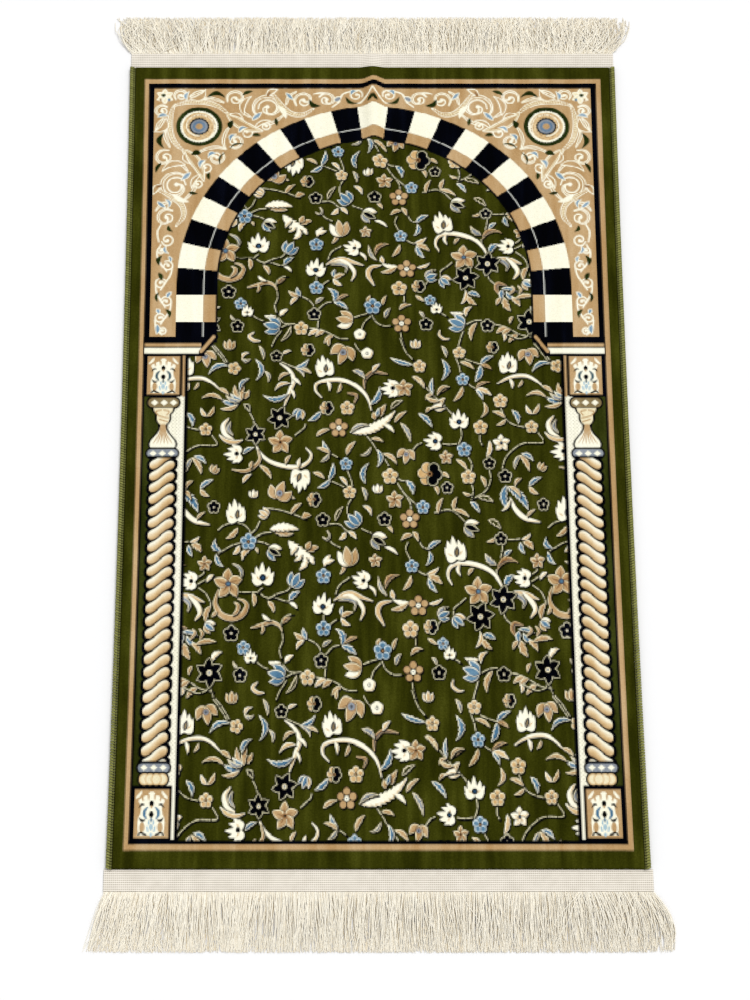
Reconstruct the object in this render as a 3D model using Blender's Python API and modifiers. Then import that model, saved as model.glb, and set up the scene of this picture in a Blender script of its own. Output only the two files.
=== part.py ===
"""Prayer rug: a pile carpet laid flat, with whipped sides, ribbed end tapes and knotted-in fringes.

The rug lies on the floor at z = 0 with its far, arched end towards +Y. Units are metres.
"""

import math
from collections import namedtuple

import bmesh
import bpy

# Driving dimensions of the rug
RUG_WIDTH = 0.700
PILE_LENGTH = 1.120
PILE_THICKNESS = 0.0070
SIDE_BINDING_WIDTH = 0.0092
SIDE_BINDING_THICKNESS = 0.0074
TAPE_THICKNESS = 0.0024
TAPE_RIB_PITCH = 0.0036
TAPE_RIB_HEIGHT = 0.0006
FRINGE_STRIP_DEPTH = 0.0035
FRINGE_THICKNESS = 0.0020
STRANDS_PER_END = 140
STRAND_WIDTH_SHARE = 0.68
STRAND_TIP_WIDTH = 0.0019
STRAND_TIP_THICKNESS = 0.0012
STRAND_LENGTH_SPREAD = 0.0035
STRAND_WOBBLE = 0.0005
SEWN_GAP = 0.0003
PILE_EDGE_ROUND = 0.0022
BINDING_ROUND = 0.0028

# How the rug lies: its sides draw in at mid-length, and it is a little out of square
WAIST = 0.008
SKEW = -0.0073

# The two ends: sign of Y, tape depth, half width of the tape, strand length, splay of the corner strands
End = namedtuple("End", "name sign tape_depth tape_half_width strand_length corner_splay_deg")
ENDS = (
    End("top", 1, 0.0230, 0.3485, 0.0570, 21.0),
    End("bottom", -1, 0.0280, 0.3522, 0.0730, 14.0),
)
SPLAY_STARTS_AT = 0.86
STRAND_STATIONS = (0.34, 0.70, 1.0)

# The crease left by folding in half lengthwise: its height by distance from the arched end of the pile
CREASE_HALF_WIDTH = 0.024
Crease = namedtuple("Crease", "from_end height")
CREASE = (
    Crease(-0.060, 0.0),
    Crease(-0.023, 0.0015),
    Crease(0.000, 0.0040),
    Crease(0.028, 0.0065),
    Crease(0.070, 0.0065),
    Crease(0.125, 0.0045),
    Crease(0.190, 0.0018),
    Crease(0.260, 0.0),
)
CREASE_COLUMNS = (-1.0, -0.72, -0.5, -0.32, -0.16, 0.0, 0.16, 0.32, 0.5, 0.72, 1.0)
CREASE_SHARPNESS = 1.5
PLAIN_COLUMNS = 6
PLAIN_ROWS = 16
BINDING_ROWS = 32

BODY_CENTRE_Y = (
    ENDS[1].tape_depth + ENDS[1].strand_length - ENDS[0].tape_depth - ENDS[0].strand_length
) / 2
PILE_HALF = PILE_LENGTH / 2


def between(value, low, high):
    """Where value lies from low (0) to high (1), eased at both ends."""
    share = min(max((value - low) / (high - low), 0.0), 1.0)
    return share * share * (3 - 2 * share)


def crease_height(x, y):
    """Height of the fold over the floor at a point measured from the pile's centre."""
    across = abs(x) / CREASE_HALF_WIDTH
    if across >= 1:
        return 0.0
    from_end = PILE_HALF - y
    height = 0.0
    for near, far in zip(CREASE, CREASE[1:]):
        if near.from_end <= from_end <= far.from_end:
            share = between(from_end, near.from_end, far.from_end)
            height = near.height + share * (far.height - near.height)
    return height * (0.5 + 0.5 * math.cos(math.pi * across)) ** CREASE_SHARPNESS


def laid(x, y, z):
    """A point of the squared-up rug, measured from the pile's centre, moved to where it lies."""
    along = min(max(0.5 + y / PILE_LENGTH, 0.0), 1.0)
    drawn_in = 1 - WAIST * 4 * along * (1 - along)
    return (x * drawn_in + SKEW * y, y + BODY_CENTRE_Y, z + crease_height(x, y))


def spaced(low, high, count):
    """count + 1 values evenly spaced from low to high."""
    return [low + (high - low) * i / count for i in range(count + 1)]


def fabric(name, colour, roughness):
    """A matte cloth material."""
    material = bpy.data.materials.new(name)
    material.use_nodes = True
    shader = material.node_tree.nodes["Principled BSDF"]
    shader.inputs["Base Color"].default_value = (*colour, 1)
    shader.inputs["Roughness"].default_value = roughness
    shader.inputs["Metallic"].default_value = 0.0
    return material


def slab(xs, ys, top):
    """A closed slab in a new bmesh: a grid over xs and ys, raised to top(x, y), with a flat underside."""
    cloth = bmesh.new()
    bmesh.ops.create_grid(cloth, x_segments=len(xs) - 1, y_segments=len(ys) - 1, size=0.5)
    for vertex in cloth.verts:
        column = round((vertex.co.x + 0.5) * (len(xs) - 1))
        row = round((vertex.co.y + 0.5) * (len(ys) - 1))
        vertex.co = (xs[column], ys[row], 0)
    underside = list(cloth.faces)
    raised = bmesh.ops.extrude_face_region(cloth, geom=underside)["geom"]
    for vertex in (item for item in raised if isinstance(item, bmesh.types.BMVert)):
        vertex.co.z = top(vertex.co.x, vertex.co.y)
    bmesh.ops.recalc_face_normals(cloth, faces=cloth.faces)
    return cloth


def finished(cloth, name, material, rug, rounding=0.0):
    """Lays the cloth down, and makes it an object with its upper rim rounded."""
    for vertex in cloth.verts:
        vertex.co = laid(*vertex.co)
    mesh = bpy.data.meshes.new(name)
    cloth.to_mesh(mesh)
    cloth.free()
    mesh.materials.append(material)
    piece = bpy.data.objects.new(name, mesh)
    rug.objects.link(piece)
    if rounding:
        rim = piece.modifiers.new("rounded_rim", "BEVEL")
        rim.width = rounding
        rim.segments = 2
        rim.limit_method = "ANGLE"
        rim.angle_limit = math.radians(50)
        rim.use_clamp_overlap = True
    return piece


def columns(half_width):
    """The places across the rug where the cloth needs an edge: close together over the fold."""
    outer = spaced(CREASE_HALF_WIDTH, half_width, PLAIN_COLUMNS)[1:]
    folded = [CREASE_HALF_WIDTH * share for share in CREASE_COLUMNS]
    return [-x for x in reversed(outer)] + folded + outer


def pile_rows():
    """The rows along the pile: close together over the fold, wide apart elsewhere."""
    folded = [PILE_HALF - section.from_end for section in CREASE if section.from_end > 0]
    plain = spaced(-PILE_HALF, folded[-1], PLAIN_ROWS)
    return plain + folded[-2::-1] + [PILE_HALF]


def make_pile(rug):
    """The pile carpet between its whipped sides."""
    yarn = fabric("olive_pile", (0.055, 0.065, 0.010), 0.9)
    half_width = RUG_WIDTH / 2 - SIDE_BINDING_WIDTH - SEWN_GAP
    cloth = slab(columns(half_width), pile_rows(), lambda x, y: PILE_THICKNESS)
    finished(cloth, "rug_body", yarn, rug, PILE_EDGE_ROUND)


def make_side_bindings(rug):
    """The whipped yarn edge along each long side."""
    yarn = fabric("whipping_yarn", (0.15, 0.19, 0.045), 0.85)
    outside, inside = RUG_WIDTH / 2, RUG_WIDTH / 2 - SIDE_BINDING_WIDTH
    for name, low, high in (("left", -outside, -inside), ("right", inside, outside)):
        ys = spaced(-PILE_HALF, PILE_HALF, BINDING_ROWS)
        cloth = slab([low, high], ys, lambda x, y: SIDE_BINDING_THICKNESS)
        finished(cloth, f"side_binding_{name}", yarn, rug, BINDING_ROUND)


def make_tape(end, rug):
    """The ribbed cotton tape sewn across one end."""
    start = PILE_HALF + SEWN_GAP
    ribs = round((end.tape_depth - SEWN_GAP) / TAPE_RIB_PITCH)
    depths = spaced(start, PILE_HALF + end.tape_depth, 2 * ribs)
    crest = {round(depth, 6): i % 2 for i, depth in enumerate(depths)}

    def ribbed(x, y):
        """The tape's height: its thickness on a rib, less between two."""
        on_rib = crest[min(crest, key=lambda depth: abs(depth - abs(y)))]
        return TAPE_THICKNESS - TAPE_RIB_HEIGHT * (1 - on_rib)

    cotton = fabric(f"cotton_tape_{end.name}", (0.78, 0.73, 0.62), 0.9)
    ys = sorted(end.sign * depth for depth in depths)
    cloth = slab(columns(end.tape_half_width), ys, ribbed)
    finished(cloth, f"heading_{end.name}", cotton, rug)


def strand_reach(end, root_x, number):
    """A strand's length and its slope outwards, by where it is rooted."""
    towards_corner = between(abs(root_x) / end.tape_half_width, SPLAY_STARTS_AT, 1.0)
    slope = math.copysign(math.tan(math.radians(end.corner_splay_deg)) * towards_corner, root_x)
    length = end.strand_length - SEWN_GAP - FRINGE_STRIP_DEPTH
    return length - STRAND_LENGTH_SPREAD * (0.5 + 0.5 * math.sin(number * 2.4)), slope


def shape_section(section, middle_x, half_width, y, height):
    """Moves a strand's new end face to its station: flat on the floor, and as wide and high as asked."""
    centre = section.calc_center_median()
    corners = [(vertex, vertex.co.x > centre.x, vertex.co.z > centre.z) for vertex in section.verts]
    for vertex, on_right, on_top in corners:
        side = half_width if on_right else -half_width
        vertex.co = (middle_x + side, y, height if on_top else 0.0)


def draw_strand(cloth, root, number, root_x, root_half, end, strip_far):
    """Draws one strand out of its root face, tapering and swaying a little on its way."""
    length, slope = strand_reach(end, root_x, number)
    section = root
    for station in STRAND_STATIONS:
        section = bmesh.ops.extrude_discrete_faces(cloth, faces=[section])["faces"][0]
        sway = STRAND_WOBBLE * math.sin(number * 1.7 + 3.0 * station) * station
        middle_x = root_x + slope * length * station + sway
        half_width = root_half + (STRAND_TIP_WIDTH / 2 - root_half) * station
        height = FRINGE_THICKNESS + (STRAND_TIP_THICKNESS - FRINGE_THICKNESS) * station
        y = end.sign * (strip_far + length * station)
        shape_section(section, middle_x, half_width, y, height)


def make_fringe(end, rug):
    """One end's fringe: strands drawn out of the outer face of a narrow woven strip."""
    strip_near = PILE_HALF + end.tape_depth + SEWN_GAP
    strip_far = strip_near + FRINGE_STRIP_DEPTH
    pitch = 2 * end.tape_half_width / STRANDS_PER_END
    root_half = pitch * STRAND_WIDTH_SHARE / 2
    roots = [-end.tape_half_width + (i + 0.5) * pitch for i in range(STRANDS_PER_END)]
    xs = [x for root_x in roots for x in (root_x - root_half, root_x + root_half)]
    ys = sorted((end.sign * strip_near, end.sign * strip_far))
    cloth = slab(xs, ys, lambda x, y: FRINGE_THICKNESS)
    outer_faces = [face for face in cloth.faces if face.normal.y * end.sign > 0.9]
    outer_faces.sort(key=lambda face: face.calc_center_median().x)
    for number, root in enumerate(outer_faces[::2]):
        draw_strand(cloth, root, number, roots[number], root_half, end, strip_far)
    yarn = fabric(f"fringe_cotton_{end.name}", (0.74, 0.67, 0.52), 0.95)
    finished(cloth, f"fringe_{end.name}", yarn, rug)


def main():
    """Clears the scene and makes every piece of the rug."""
    for item in list(bpy.data.objects):
        bpy.data.objects.remove(item, do_unlink=True)
    rug = bpy.data.collections.new("prayer_rug")
    bpy.context.scene.collection.children.link(rug)
    make_pile(rug)
    make_side_bindings(rug)
    for end in ENDS:
        make_tape(end, rug)
        make_fringe(end, rug)


main()
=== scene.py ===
import functools
import math
from collections import namedtuple

import bpy
import numpy as np
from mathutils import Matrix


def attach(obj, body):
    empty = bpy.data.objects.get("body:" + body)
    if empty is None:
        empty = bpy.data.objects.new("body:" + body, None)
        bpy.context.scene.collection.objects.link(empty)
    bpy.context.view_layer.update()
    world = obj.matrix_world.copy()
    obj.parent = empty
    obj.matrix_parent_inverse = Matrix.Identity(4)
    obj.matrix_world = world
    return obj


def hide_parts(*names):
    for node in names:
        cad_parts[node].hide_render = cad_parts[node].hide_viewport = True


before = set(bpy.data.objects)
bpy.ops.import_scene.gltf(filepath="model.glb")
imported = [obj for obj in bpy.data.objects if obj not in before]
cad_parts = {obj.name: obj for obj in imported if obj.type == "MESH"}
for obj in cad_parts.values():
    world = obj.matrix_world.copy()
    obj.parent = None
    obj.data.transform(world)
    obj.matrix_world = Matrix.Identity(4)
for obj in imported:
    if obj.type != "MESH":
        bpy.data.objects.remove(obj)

bl_info = {
    "name": "Prayer Rug",
    "version": (1, 0, 0),
    "blender": (4, 5, 0),
    "location": "View3D > Sidebar > Rug",
    "description": "Dresses the packed prayer rug in its dyed pile, whipped sides, tapes and fringe",
    "category": "Object",
}

# The rug's own frame: metres from the pile's centre, before it is laid down.
PILE_LENGTH = 1.120
PILE_HALF = PILE_LENGTH / 2
PILE_THICKNESS = 0.0070
RUG_HALF_WIDTH = 0.350
SIDE_WIDTH = 0.0092
SIDE_THICKNESS = 0.0074
SEWN_GAP = 0.0003
PILE_HALF_WIDTH = RUG_HALF_WIDTH - SIDE_WIDTH - SEWN_GAP
TAPE_THICKNESS = 0.0024
TAPE_RIB_PITCH = 0.0029
TAPE_RIB_HEIGHT = 0.0006
BODY_CENTRE_Y = 0.0105

# The rug is drawn in a little at its waist, and lies slightly out of square.
WAIST = 0.008
SKEW = -0.0073

# A fold runs in from the arched end: distance from that end of the pile, and height.
CREASE_HALF_WIDTH = 0.024
CREASE_SHARPNESS = 1.5
CREASE = (
    (-0.060, 0.0), (-0.023, 0.0015), (0.0, 0.0040), (0.028, 0.0065),
    (0.070, 0.0065), (0.125, 0.0045), (0.190, 0.0018), (0.260, 0.0),
)

# How each end is finished. The splay is the fringe's at the corners, in degrees. The fans are how wide
# and how bowed its yarns lie at the left and at the right corner.
End = namedtuple("End", "name side tape_depth half_width strand_length splay ruffled fans")
ENDS = (
    End("top", 1, 0.0230, 0.3485, 0.0570, 21.0, 1.9, ((1.0, 0.30), (1.0, 0.30))),
    End("bottom", -1, 0.0280, 0.3522, 0.0730, 14.0, 1.0, ((1.0, 0.0), (1.25, 0.45))),
)


def linear(hexcode):
    """A colour written as six hex digits, as linear red, green and blue."""
    shares = [int(hexcode[i : i + 2], 16) / 255 for i in (0, 2, 4)]
    return np.array([s / 12.92 if s <= 0.04045 else ((s + 0.055) / 1.055) ** 2.4 for s in shares])


OLIVE = linear("363808")
LEAF_GREEN = linear("222E0C")
MOSS = linear("343A10")
TAN = linear("C09F72")
LIGHT_TAN = linear("DDBF8E")
BROWN = linear("96714A")
CREAM = linear("F1E6C2")
IVORY = linear("FDFAE4")
INK = linear("020309")
BLUE = linear("5A809B")
PALE_BLUE = linear("AEC8D2")
DEEP_BLUE = linear("2C4A66")
PALE_SKY = linear("D2E0E2")
SEAM = linear("DEE0D8")
STONE = linear("C2BEAC")
GREY = linear("8F969E")
SLATE = linear("4C5058")
PALE_SLATE = linear("84A0B4")
BLUE_SLATE = linear("6E879F")
TEAL = linear("4A626A")
HUSK = linear("8C7A55")
SAND = linear("D3AF7A")
VINE = linear("E2DCB8")


def eased(share):
    """Smooth steps from 0 to 1."""
    share = np.clip(share, 0.0, 1.0)
    return share * share * (3 - 2 * share)


def crease_height(x, y):
    """Height of the fold at points of the squared-up rug."""
    stations, heights = (np.array(column) for column in zip(*CREASE))
    from_end = PILE_HALF - y
    index = np.clip(np.searchsorted(stations, from_end) - 1, 0, len(CREASE) - 2)
    span = stations[index + 1] - stations[index]
    share = eased((from_end - stations[index]) / span)
    height = heights[index] + share * (heights[index + 1] - heights[index])
    across = np.clip(np.abs(x) / CREASE_HALF_WIDTH, 0, 1)
    return height * (0.5 + 0.5 * np.cos(math.pi * across)) ** CREASE_SHARPNESS


def laid(points):
    """Points of the squared-up rug, moved to where it lies on the floor."""
    x, y, z = points.T
    along = np.clip(0.5 + y / PILE_LENGTH, 0, 1)
    drawn_in = 1 - WAIST * 4 * along * (1 - along)
    return np.column_stack((x * drawn_in + SKEW * y, y + BODY_CENTRE_Y, z + crease_height(x, y)))


# ---- The colour chart: millimetres, x from the rug's centre line, y down from the arched end.

CHART_LENGTH = 1120
CHART_HALF_WIDTH = 350
CHART_STEP = 0.82
# Knots are longer at the rug's foot than at its arched end, by this share either way.
GROWTH_TOWARDS_FOOT = 0.11

# A motif's pale edge, how far it passes the motif, and the dark outline around a petal.
EDGE = 1.2
RIM_GROWTH = 0.15
OUTLINE = 1.1
# The dark knots below a motif: their offset, how far they grow and how dark they are.
SHADOW = (1.3, 1.6)
SHADOW_GROWTH = 1.0
SHADOW_STRENGTH = 0.95
DARK_SIDE = 1.3
# Leaves with a ragged edge have teeth; those narrower than this have shallower ones.
LEAF_FULLNESS = 0.95
TOOTH_LENGTH = 6.5
TOOTH_DEPTH = 0.35
FULL_TOOTH_WIDTH = 9
STEM_FULLNESS = 0.88
STEM_ENDS, STEM_EDGE = 1.2, 0.8
# A thin stalk: its shadow's width, its own, and its dashes, counted in points of its path.
STALK_SHADOW, STALK_WIDTH = 1.3, 1.25
DASH, DASH_GAP = 13, 2
# How finely a curve is walked, and how far from a stroke its depth is still measured.
PATH_SPACING = 0.8
STROKE_ROOM = 5
FAR_AWAY = 50.0


class Chart:
    """Dyes on a fine grid, each with the share of its point that is covered so far.

    Shapes are given from the chart's zero, which a repeat moves to its own place.
    """

    def __init__(self, left, right):
        self.left = left
        self.zero = (0, 0)
        self.columns = round((right - left) / CHART_STEP)
        self.rows = round(CHART_LENGTH / CHART_STEP)
        self.colour = np.zeros((self.rows, self.columns, 3))
        self.cover = np.zeros((self.rows, self.columns))

    def window(self, x0, y0, x1, y1):
        """The points inside a box, as their place, and x and y from the zero; None without any."""
        dx, dy = self.zero
        first, last = (int((x + dx - self.left) / CHART_STEP) for x in (x0, x1))
        top, bottom = (int((y + dy) / CHART_STEP) for y in (y0, y1))
        first, last = max(first, 0), min(last + 2, self.columns)
        top, bottom = max(top, 0), min(bottom + 2, self.rows)
        if first >= last or top >= bottom:
            return None
        xs = self.left + (np.arange(first, last) + 0.5) * CHART_STEP - dx
        ys = (np.arange(top, bottom) + 0.5) * CHART_STEP - dy
        return (slice(top, bottom), slice(first, last)), *np.meshgrid(xs, ys)

    def dye(self, place, depth, colour, strength=1.0):
        """Dyes the points of a place where depth is negative."""
        share = np.clip(0.5 - depth / CHART_STEP, 0, 1) * strength
        left = 1 - share
        self.colour[place] = self.colour[place] * left[..., None] + share[..., None] * colour
        self.cover[place] = self.cover[place] * left + share


def box_around(xs, ys, reach):
    """The box around some points, with room for a shape's half width and its shadow."""
    room = reach + 4
    return min(xs) - room, min(ys) - room, max(xs) + room, max(ys) + room


def deepest(*depths):
    """The depth of what all the shapes share."""
    return functools.reduce(np.maximum, depths)


def disc(cx, cy, radius):
    """A round shape."""
    def depth(x, y):
        return np.hypot(x - cx, y - cy) - radius
    return depth, box_around([cx], [cy], radius)


def lobed(cx, cy, radius, lobes, dip, heading=0):
    """A round shape with a scalloped rim."""
    def depth(x, y):
        angle = np.arctan2(x - cx, cy - y) - math.radians(heading)
        rim = radius * (1 - dip + dip * np.abs(np.cos(0.5 * lobes * angle)))
        return np.hypot(x - cx, y - cy) - rim
    return depth, box_around([cx], [cy], radius)


def blade(x0, y0, x1, y1, bend, width, tooth_depth=0.0):
    """A leaf from its stalk to its tip; a positive bend bellies out to the left of that way."""
    length = math.hypot(x1 - x0, y1 - y0)
    ax, ay = (x1 - x0) / length, (y1 - y0) / length
    teeth = max(2, round(length / TOOTH_LENGTH))

    def depth(x, y):
        along = ((x - x0) * ax + (y - y0) * ay) / length
        within = np.clip(along, 0, 1)
        aside = (x - x0) * ay - (y - y0) * ax - bend * length * 4 * within * (1 - within)
        half = 0.5 * width * np.sin(math.pi * within**0.85) ** 0.8
        half = half * (1 - tooth_depth * (1 - (within * teeth) % 1))
        over = np.abs(aside) - half
        past = np.maximum(np.maximum(-along, along - 1), 0) * length
        return np.hypot(np.maximum(over, 0), past) + np.minimum(over, 0)
    return depth, box_around([x0, x1], [y0, y1], width / 2 + abs(bend) * length)


def bar(x0, y0, x1, y1):
    """A straight-sided band."""
    def depth(x, y):
        return deepest(x0 - x, x - x1, y0 - y, y - y1)
    return depth, (x0 - 2, y0 - 2, x1 + 2, y1 + 2)


def smooth_path(points, spacing=PATH_SPACING):
    """A smooth curve through points, as closely spaced points."""
    points = np.array(points, float)
    ends = (2 * points[:1] - points[1:2], points, 2 * points[-1:] - points[-2:-1])
    knots = np.concatenate(ends)
    path = []
    for a, b, c, d in zip(knots, knots[1:], knots[2:], knots[3:]):
        count = max(2, int(np.hypot(*(c - b)) / spacing))
        t = (np.arange(count) / count)[:, None]
        path.append(
            b + 0.5 * t * (c - a)
            + t**2 * (a - 2.5 * b + 2 * c - 0.5 * d)
            + t**3 * (1.5 * (b - c) + 0.5 * (d - a))
        )
    return np.concatenate([*path, points[-1:]])


def swelling(share, width, root, tip):
    """A stroke's half width along its way: thin at its ends, full between."""
    middle = np.sin(math.pi * np.clip(share, 0, 1)) ** 0.9
    ends = root + (tip - root) * share
    return 0.5 * (ends + (width - ends) * middle)


def stroke(points, width, root=None, tip=None):
    """A brush stroke along a smooth curve."""
    path = smooth_path(points)
    root = width if root is None else root
    tip = width if tip is None else tip
    halves = swelling(np.linspace(0, 1, len(path)), width, root, tip)

    def depth(x, y):
        far = np.full(x.shape, FAR_AWAY)
        xs, ys = x[0], y[:, 0]
        for (px, py), half in zip(path, halves):
            reach = half + STROKE_ROOM
            columns = slice(*np.searchsorted(xs, (px - reach, px + reach)))
            rows = slice(*np.searchsorted(ys, (py - reach, py + reach)))
            near = np.hypot(x[rows, columns] - px, y[rows, columns] - py) - half
            far[rows, columns] = np.minimum(far[rows, columns], near)
        return far
    return depth, box_around(path[:, 0], path[:, 1], width / 2)


def spiral(cx, cy, radius, turns, heading, hand, power):
    """Points that wind in to a centre from the heading; a high power turns in only at the end."""
    points = []
    steps = round(9 * turns)
    for i in range(steps + 1):
        share = i / steps
        angle = math.radians(heading) + hand * 2 * math.pi * turns * share
        reach = radius * (1 - 0.85 * share**power)
        points.append((cx + reach * math.sin(angle), cy - reach * math.cos(angle)))
    return points


def shadow(chart, *shapes):
    """The dark side that shapes throw down and to the right."""
    for depth_at, box in shapes:
        window = chart.window(*box)
        if window is not None:
            place, x, y = window
            depth = depth_at(x - SHADOW[0], y - SHADOW[1]) - SHADOW_GROWTH
            chart.dye(place, depth, INK, SHADOW_STRENGTH)


def layered(chart, shape, *layers):
    """Dyes a shape in layers of how far each grows over its outline, and its colour."""
    depth_at, box = shape
    window = chart.window(*box)
    if window is not None:
        place, x, y = window
        depth = depth_at(x, y)
        for growth, colour in layers:
            chart.dye(place, depth - growth, colour)


def plain(chart, shape, colour, growth=0):
    """Dyes a shape in one colour."""
    layered(chart, shape, (growth, colour))


def dressed(chart, shape, dress, edge=EDGE):
    """Dyes a shape's edge, its body and the body's darker side."""
    depth_at, box = shape
    window = chart.window(*box)
    if window is None:
        return
    place, x, y = window
    rim, body, dark = DRESSES[dress]
    depth = depth_at(x, y)
    chart.dye(place, depth - RIM_GROWTH, rim)
    chart.dye(place, depth + edge, body)
    beyond = depth_at(x + DARK_SIDE, y + DARK_SIDE)
    chart.dye(place, np.maximum(depth + 0.5 * edge, -beyond - 0.2), dark)


# The dress of a leaf or petal: its edge, its body and its darker side.
DRESSES = {
    "tan": (CREAM, TAN, BROWN),
    "cream": (IVORY, LIGHT_TAN, TAN),
    "white": (IVORY, IVORY, LIGHT_TAN),
    "sand": (CREAM, SAND, TAN),
    "blue": (IVORY, BLUE, DEEP_BLUE),
    "amber": (CREAM, TAN, BROWN),
    "sky": (PALE_SKY, BLUE, BLUE),
    "grey": (CREAM, GREY, SLATE),
    "brown": (LIGHT_TAN, BROWN, SLATE),
    "black": (VINE, INK, INK),
    "hollow": (CREAM, OLIVE, INK),
}
# A flower's heart in each dress: its ring and its dot.
EYES = {
    "tan": (BROWN, INK),
    "amber": (SLATE, BLUE),
    "sand": (INK, TAN),
    "sky": (INK, BROWN),
    "cream": (TAN, BROWN),
    "white": (INK, DEEP_BLUE),
    "blue": (INK, CREAM),
    "black": (CREAM, GREY),
    "grey": (INK, GREY),
}


def leaf(chart, dress, x0, y0, x1, y1, width, bend=0.1):
    """One leaf over its shadow."""
    tooth_depth = TOOTH_DEPTH * min(1, width / FULL_TOOTH_WIDTH)
    shape = blade(x0, y0, x1, y1, bend, LEAF_FULLNESS * width, tooth_depth)
    shadow(chart, shape)
    dressed(chart, shape, dress)


def stem(chart, dress, width, *points):
    """A stout stem or hook that swells along its way."""
    shape = stroke(points, STEM_FULLNESS * width, STEM_ENDS, STEM_ENDS)
    shadow(chart, shape)
    dressed(chart, shape, dress, STEM_EDGE)


def vine(chart, points):
    """A thin stalk: a pale thread with its dark side."""
    shadow(chart, stroke(points, STALK_SHADOW))
    path = smooth_path(points)
    for start in range(0, len(path) - 2, DASH + DASH_GAP):
        plain(chart, stroke(path[start : start + DASH : 2], STALK_WIDTH), VINE)


def ahead(x, y, heading, reach):
    """The point at some reach from another; headings turn clockwise from the arched end."""
    angle = math.radians(heading)
    return x + reach * math.sin(angle), y - reach * math.cos(angle)


def petal(x, y, heading, length, width, bend=0.0):
    """A leaf-shaped petal standing out from a point."""
    return blade(x, y, *ahead(x, y, heading, length), bend, width)


def eye(chart, x, y, radius, dress):
    """A flower's heart: a ring and a dot."""
    ring, dot = EYES[dress]
    plain(chart, disc(x, y, radius), ring)
    plain(chart, disc(x, y, radius * 0.5), dot)


def posy(chart, petals, dresses, edge=EDGE, outline=OUTLINE):
    """Petals one over the other, each in a dark outline, on one shadow."""
    shadow(chart, *petals)
    for shape, dress in zip(petals, dresses):
        plain(chart, shape, INK, outline)
        dressed(chart, shape, dress, edge)


def dark_posy(chart, petals, rim=0.9, body=0.0):
    """Black petals in one pale rim."""
    for shape in petals:
        shadow(chart, shape)
        plain(chart, shape, INK, 2.0)
    for growth, dye in ((rim, VINE), (body, INK)):
        for shape in petals:
            plain(chart, shape, dye, growth)


def round_petals(x, y, heading, count, reach, radius):
    """Round petals that stand about a point."""
    turns = [heading + 360 / count * k for k in range(count)]
    return [disc(*ahead(x, y, turn, reach), radius) for turn in turns]


def long_petals(x, y, heading, count, length, width):
    """Pointed petals that stand about a point."""
    return [petal(x, y, heading + 360 / count * k, length, width, 0.06) for k in range(count)]


def rosette(chart, x, y, size, heading, dress):
    """Five round petals about a heart."""
    dress = {"tan": "sand", "blue": "sky"}.get(dress, dress)
    size = 0.92 * size
    petals = round_petals(x, y, heading, 5, 0.63 * size, 0.43 * size)
    if dress == "black":
        dark_posy(chart, petals + [disc(x, y, 0.42 * size)])
        eye(chart, x, y, 0.17 * size, dress)
    else:
        posy(chart, petals, [dress] * 5, 1.4, 0.8)
        eye(chart, x, y, 0.27 * size, dress)


def pair(chart, x, y, size, heading, dress):
    """A round flower of three pale petals and three dark ones."""
    petals = round_petals(x, y, heading + 36, 6, 0.60 * size, 0.42 * size)
    posy(chart, petals[3:], ["sand"] * 3, 0.8)
    dark_posy(chart, petals[:3])
    eye(chart, x, y, 0.22 * size, dress)


def daisy(chart, x, y, size, heading, dress):
    """Five round petals standing apart about a pale heart."""
    petals = round_petals(x, y, heading, 5, 0.66 * size, 0.34 * size)
    for shape in petals:
        shadow(chart, shape)
        plain(chart, shape, INK, 1.0)
    for shape in petals:
        plain(chart, shape, DRESSES[dress][1])
    for radius, dye in ((0.28, INK), (0.24, IVORY), (0.08, GREY)):
        plain(chart, disc(x, y, radius * size), dye)


def star(chart, x, y, size, heading, dress):
    """Six broad pointed petals about a small pale heart."""
    dark_posy(chart, long_petals(x, y, heading, 6, 1.02 * size, 0.58 * size), 0.7, -0.25)
    eye(chart, x, y, 0.19 * size, dress)


def bloom(chart, x, y, size, heading, dress):
    """Five broad pointed petals, each with its vein."""
    posy(chart, long_petals(x, y, heading, 5, size, 0.64 * size), [dress] * 5, 1.3)
    for vein in long_petals(x, y, heading, 5, 0.68 * size, 0.13 * size):
        plain(chart, vein, DRESSES[dress][2])
    eye(chart, x, y, 0.20 * size, dress)


# A ragged flower's petals: turn from its heading, reach and bend.
BROAD = (
    (-76, 0.58, 0.16), (72, 0.56, -0.16), (-51, 0.73, 0.12), (48, 0.75, -0.12), (-24, 0.86, 0.08),
    (22, 0.83, -0.10), (-2, 1.0, 0.02),
)
SLIM = (
    (-58, 0.50, 0.20), (54, 0.52, -0.20), (-36, 0.70, 0.14), (33, 0.72, -0.14), (-17, 0.88, 0.08),
    (15, 0.82, -0.10), (0, 1.0, 0.02),
)


def ragged(chart, x, y, size, heading, dress, fans):
    """Pointed petals over a round base, in the colours of a dress."""
    bx, by = ahead(x, y, heading, -0.42 * size)
    petals = [petal(bx, by, heading + turn, size * reach, 0.29 * size, bend)
              for turn, reach, bend in fans]
    petals.append(disc(*ahead(bx, by, heading, 0.27 * size), 0.26 * size))
    shadow(chart, *petals)
    for shape in petals:
        plain(chart, shape, INK, 0.7)
    rim, body, dark = DRESSES[dress]
    for shape in petals:
        layered(chart, shape, (0, rim), (-0.9, body))
    for turn in (-50, 46):
        fold = petal(*ahead(bx, by, heading + turn, 0.2 * size), heading + turn, 0.24 * size, 1.8)
        plain(chart, fold, dark)


def palmette(chart, x, y, size, heading, dress):
    """A broad ragged flower with a dark eye in its base."""
    size = 0.77 * size
    ragged(chart, x, y, size, heading, dress, BROAD)
    eye(chart, *ahead(x, y, heading, -0.2 * size), 0.17 * size, dress)


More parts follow.
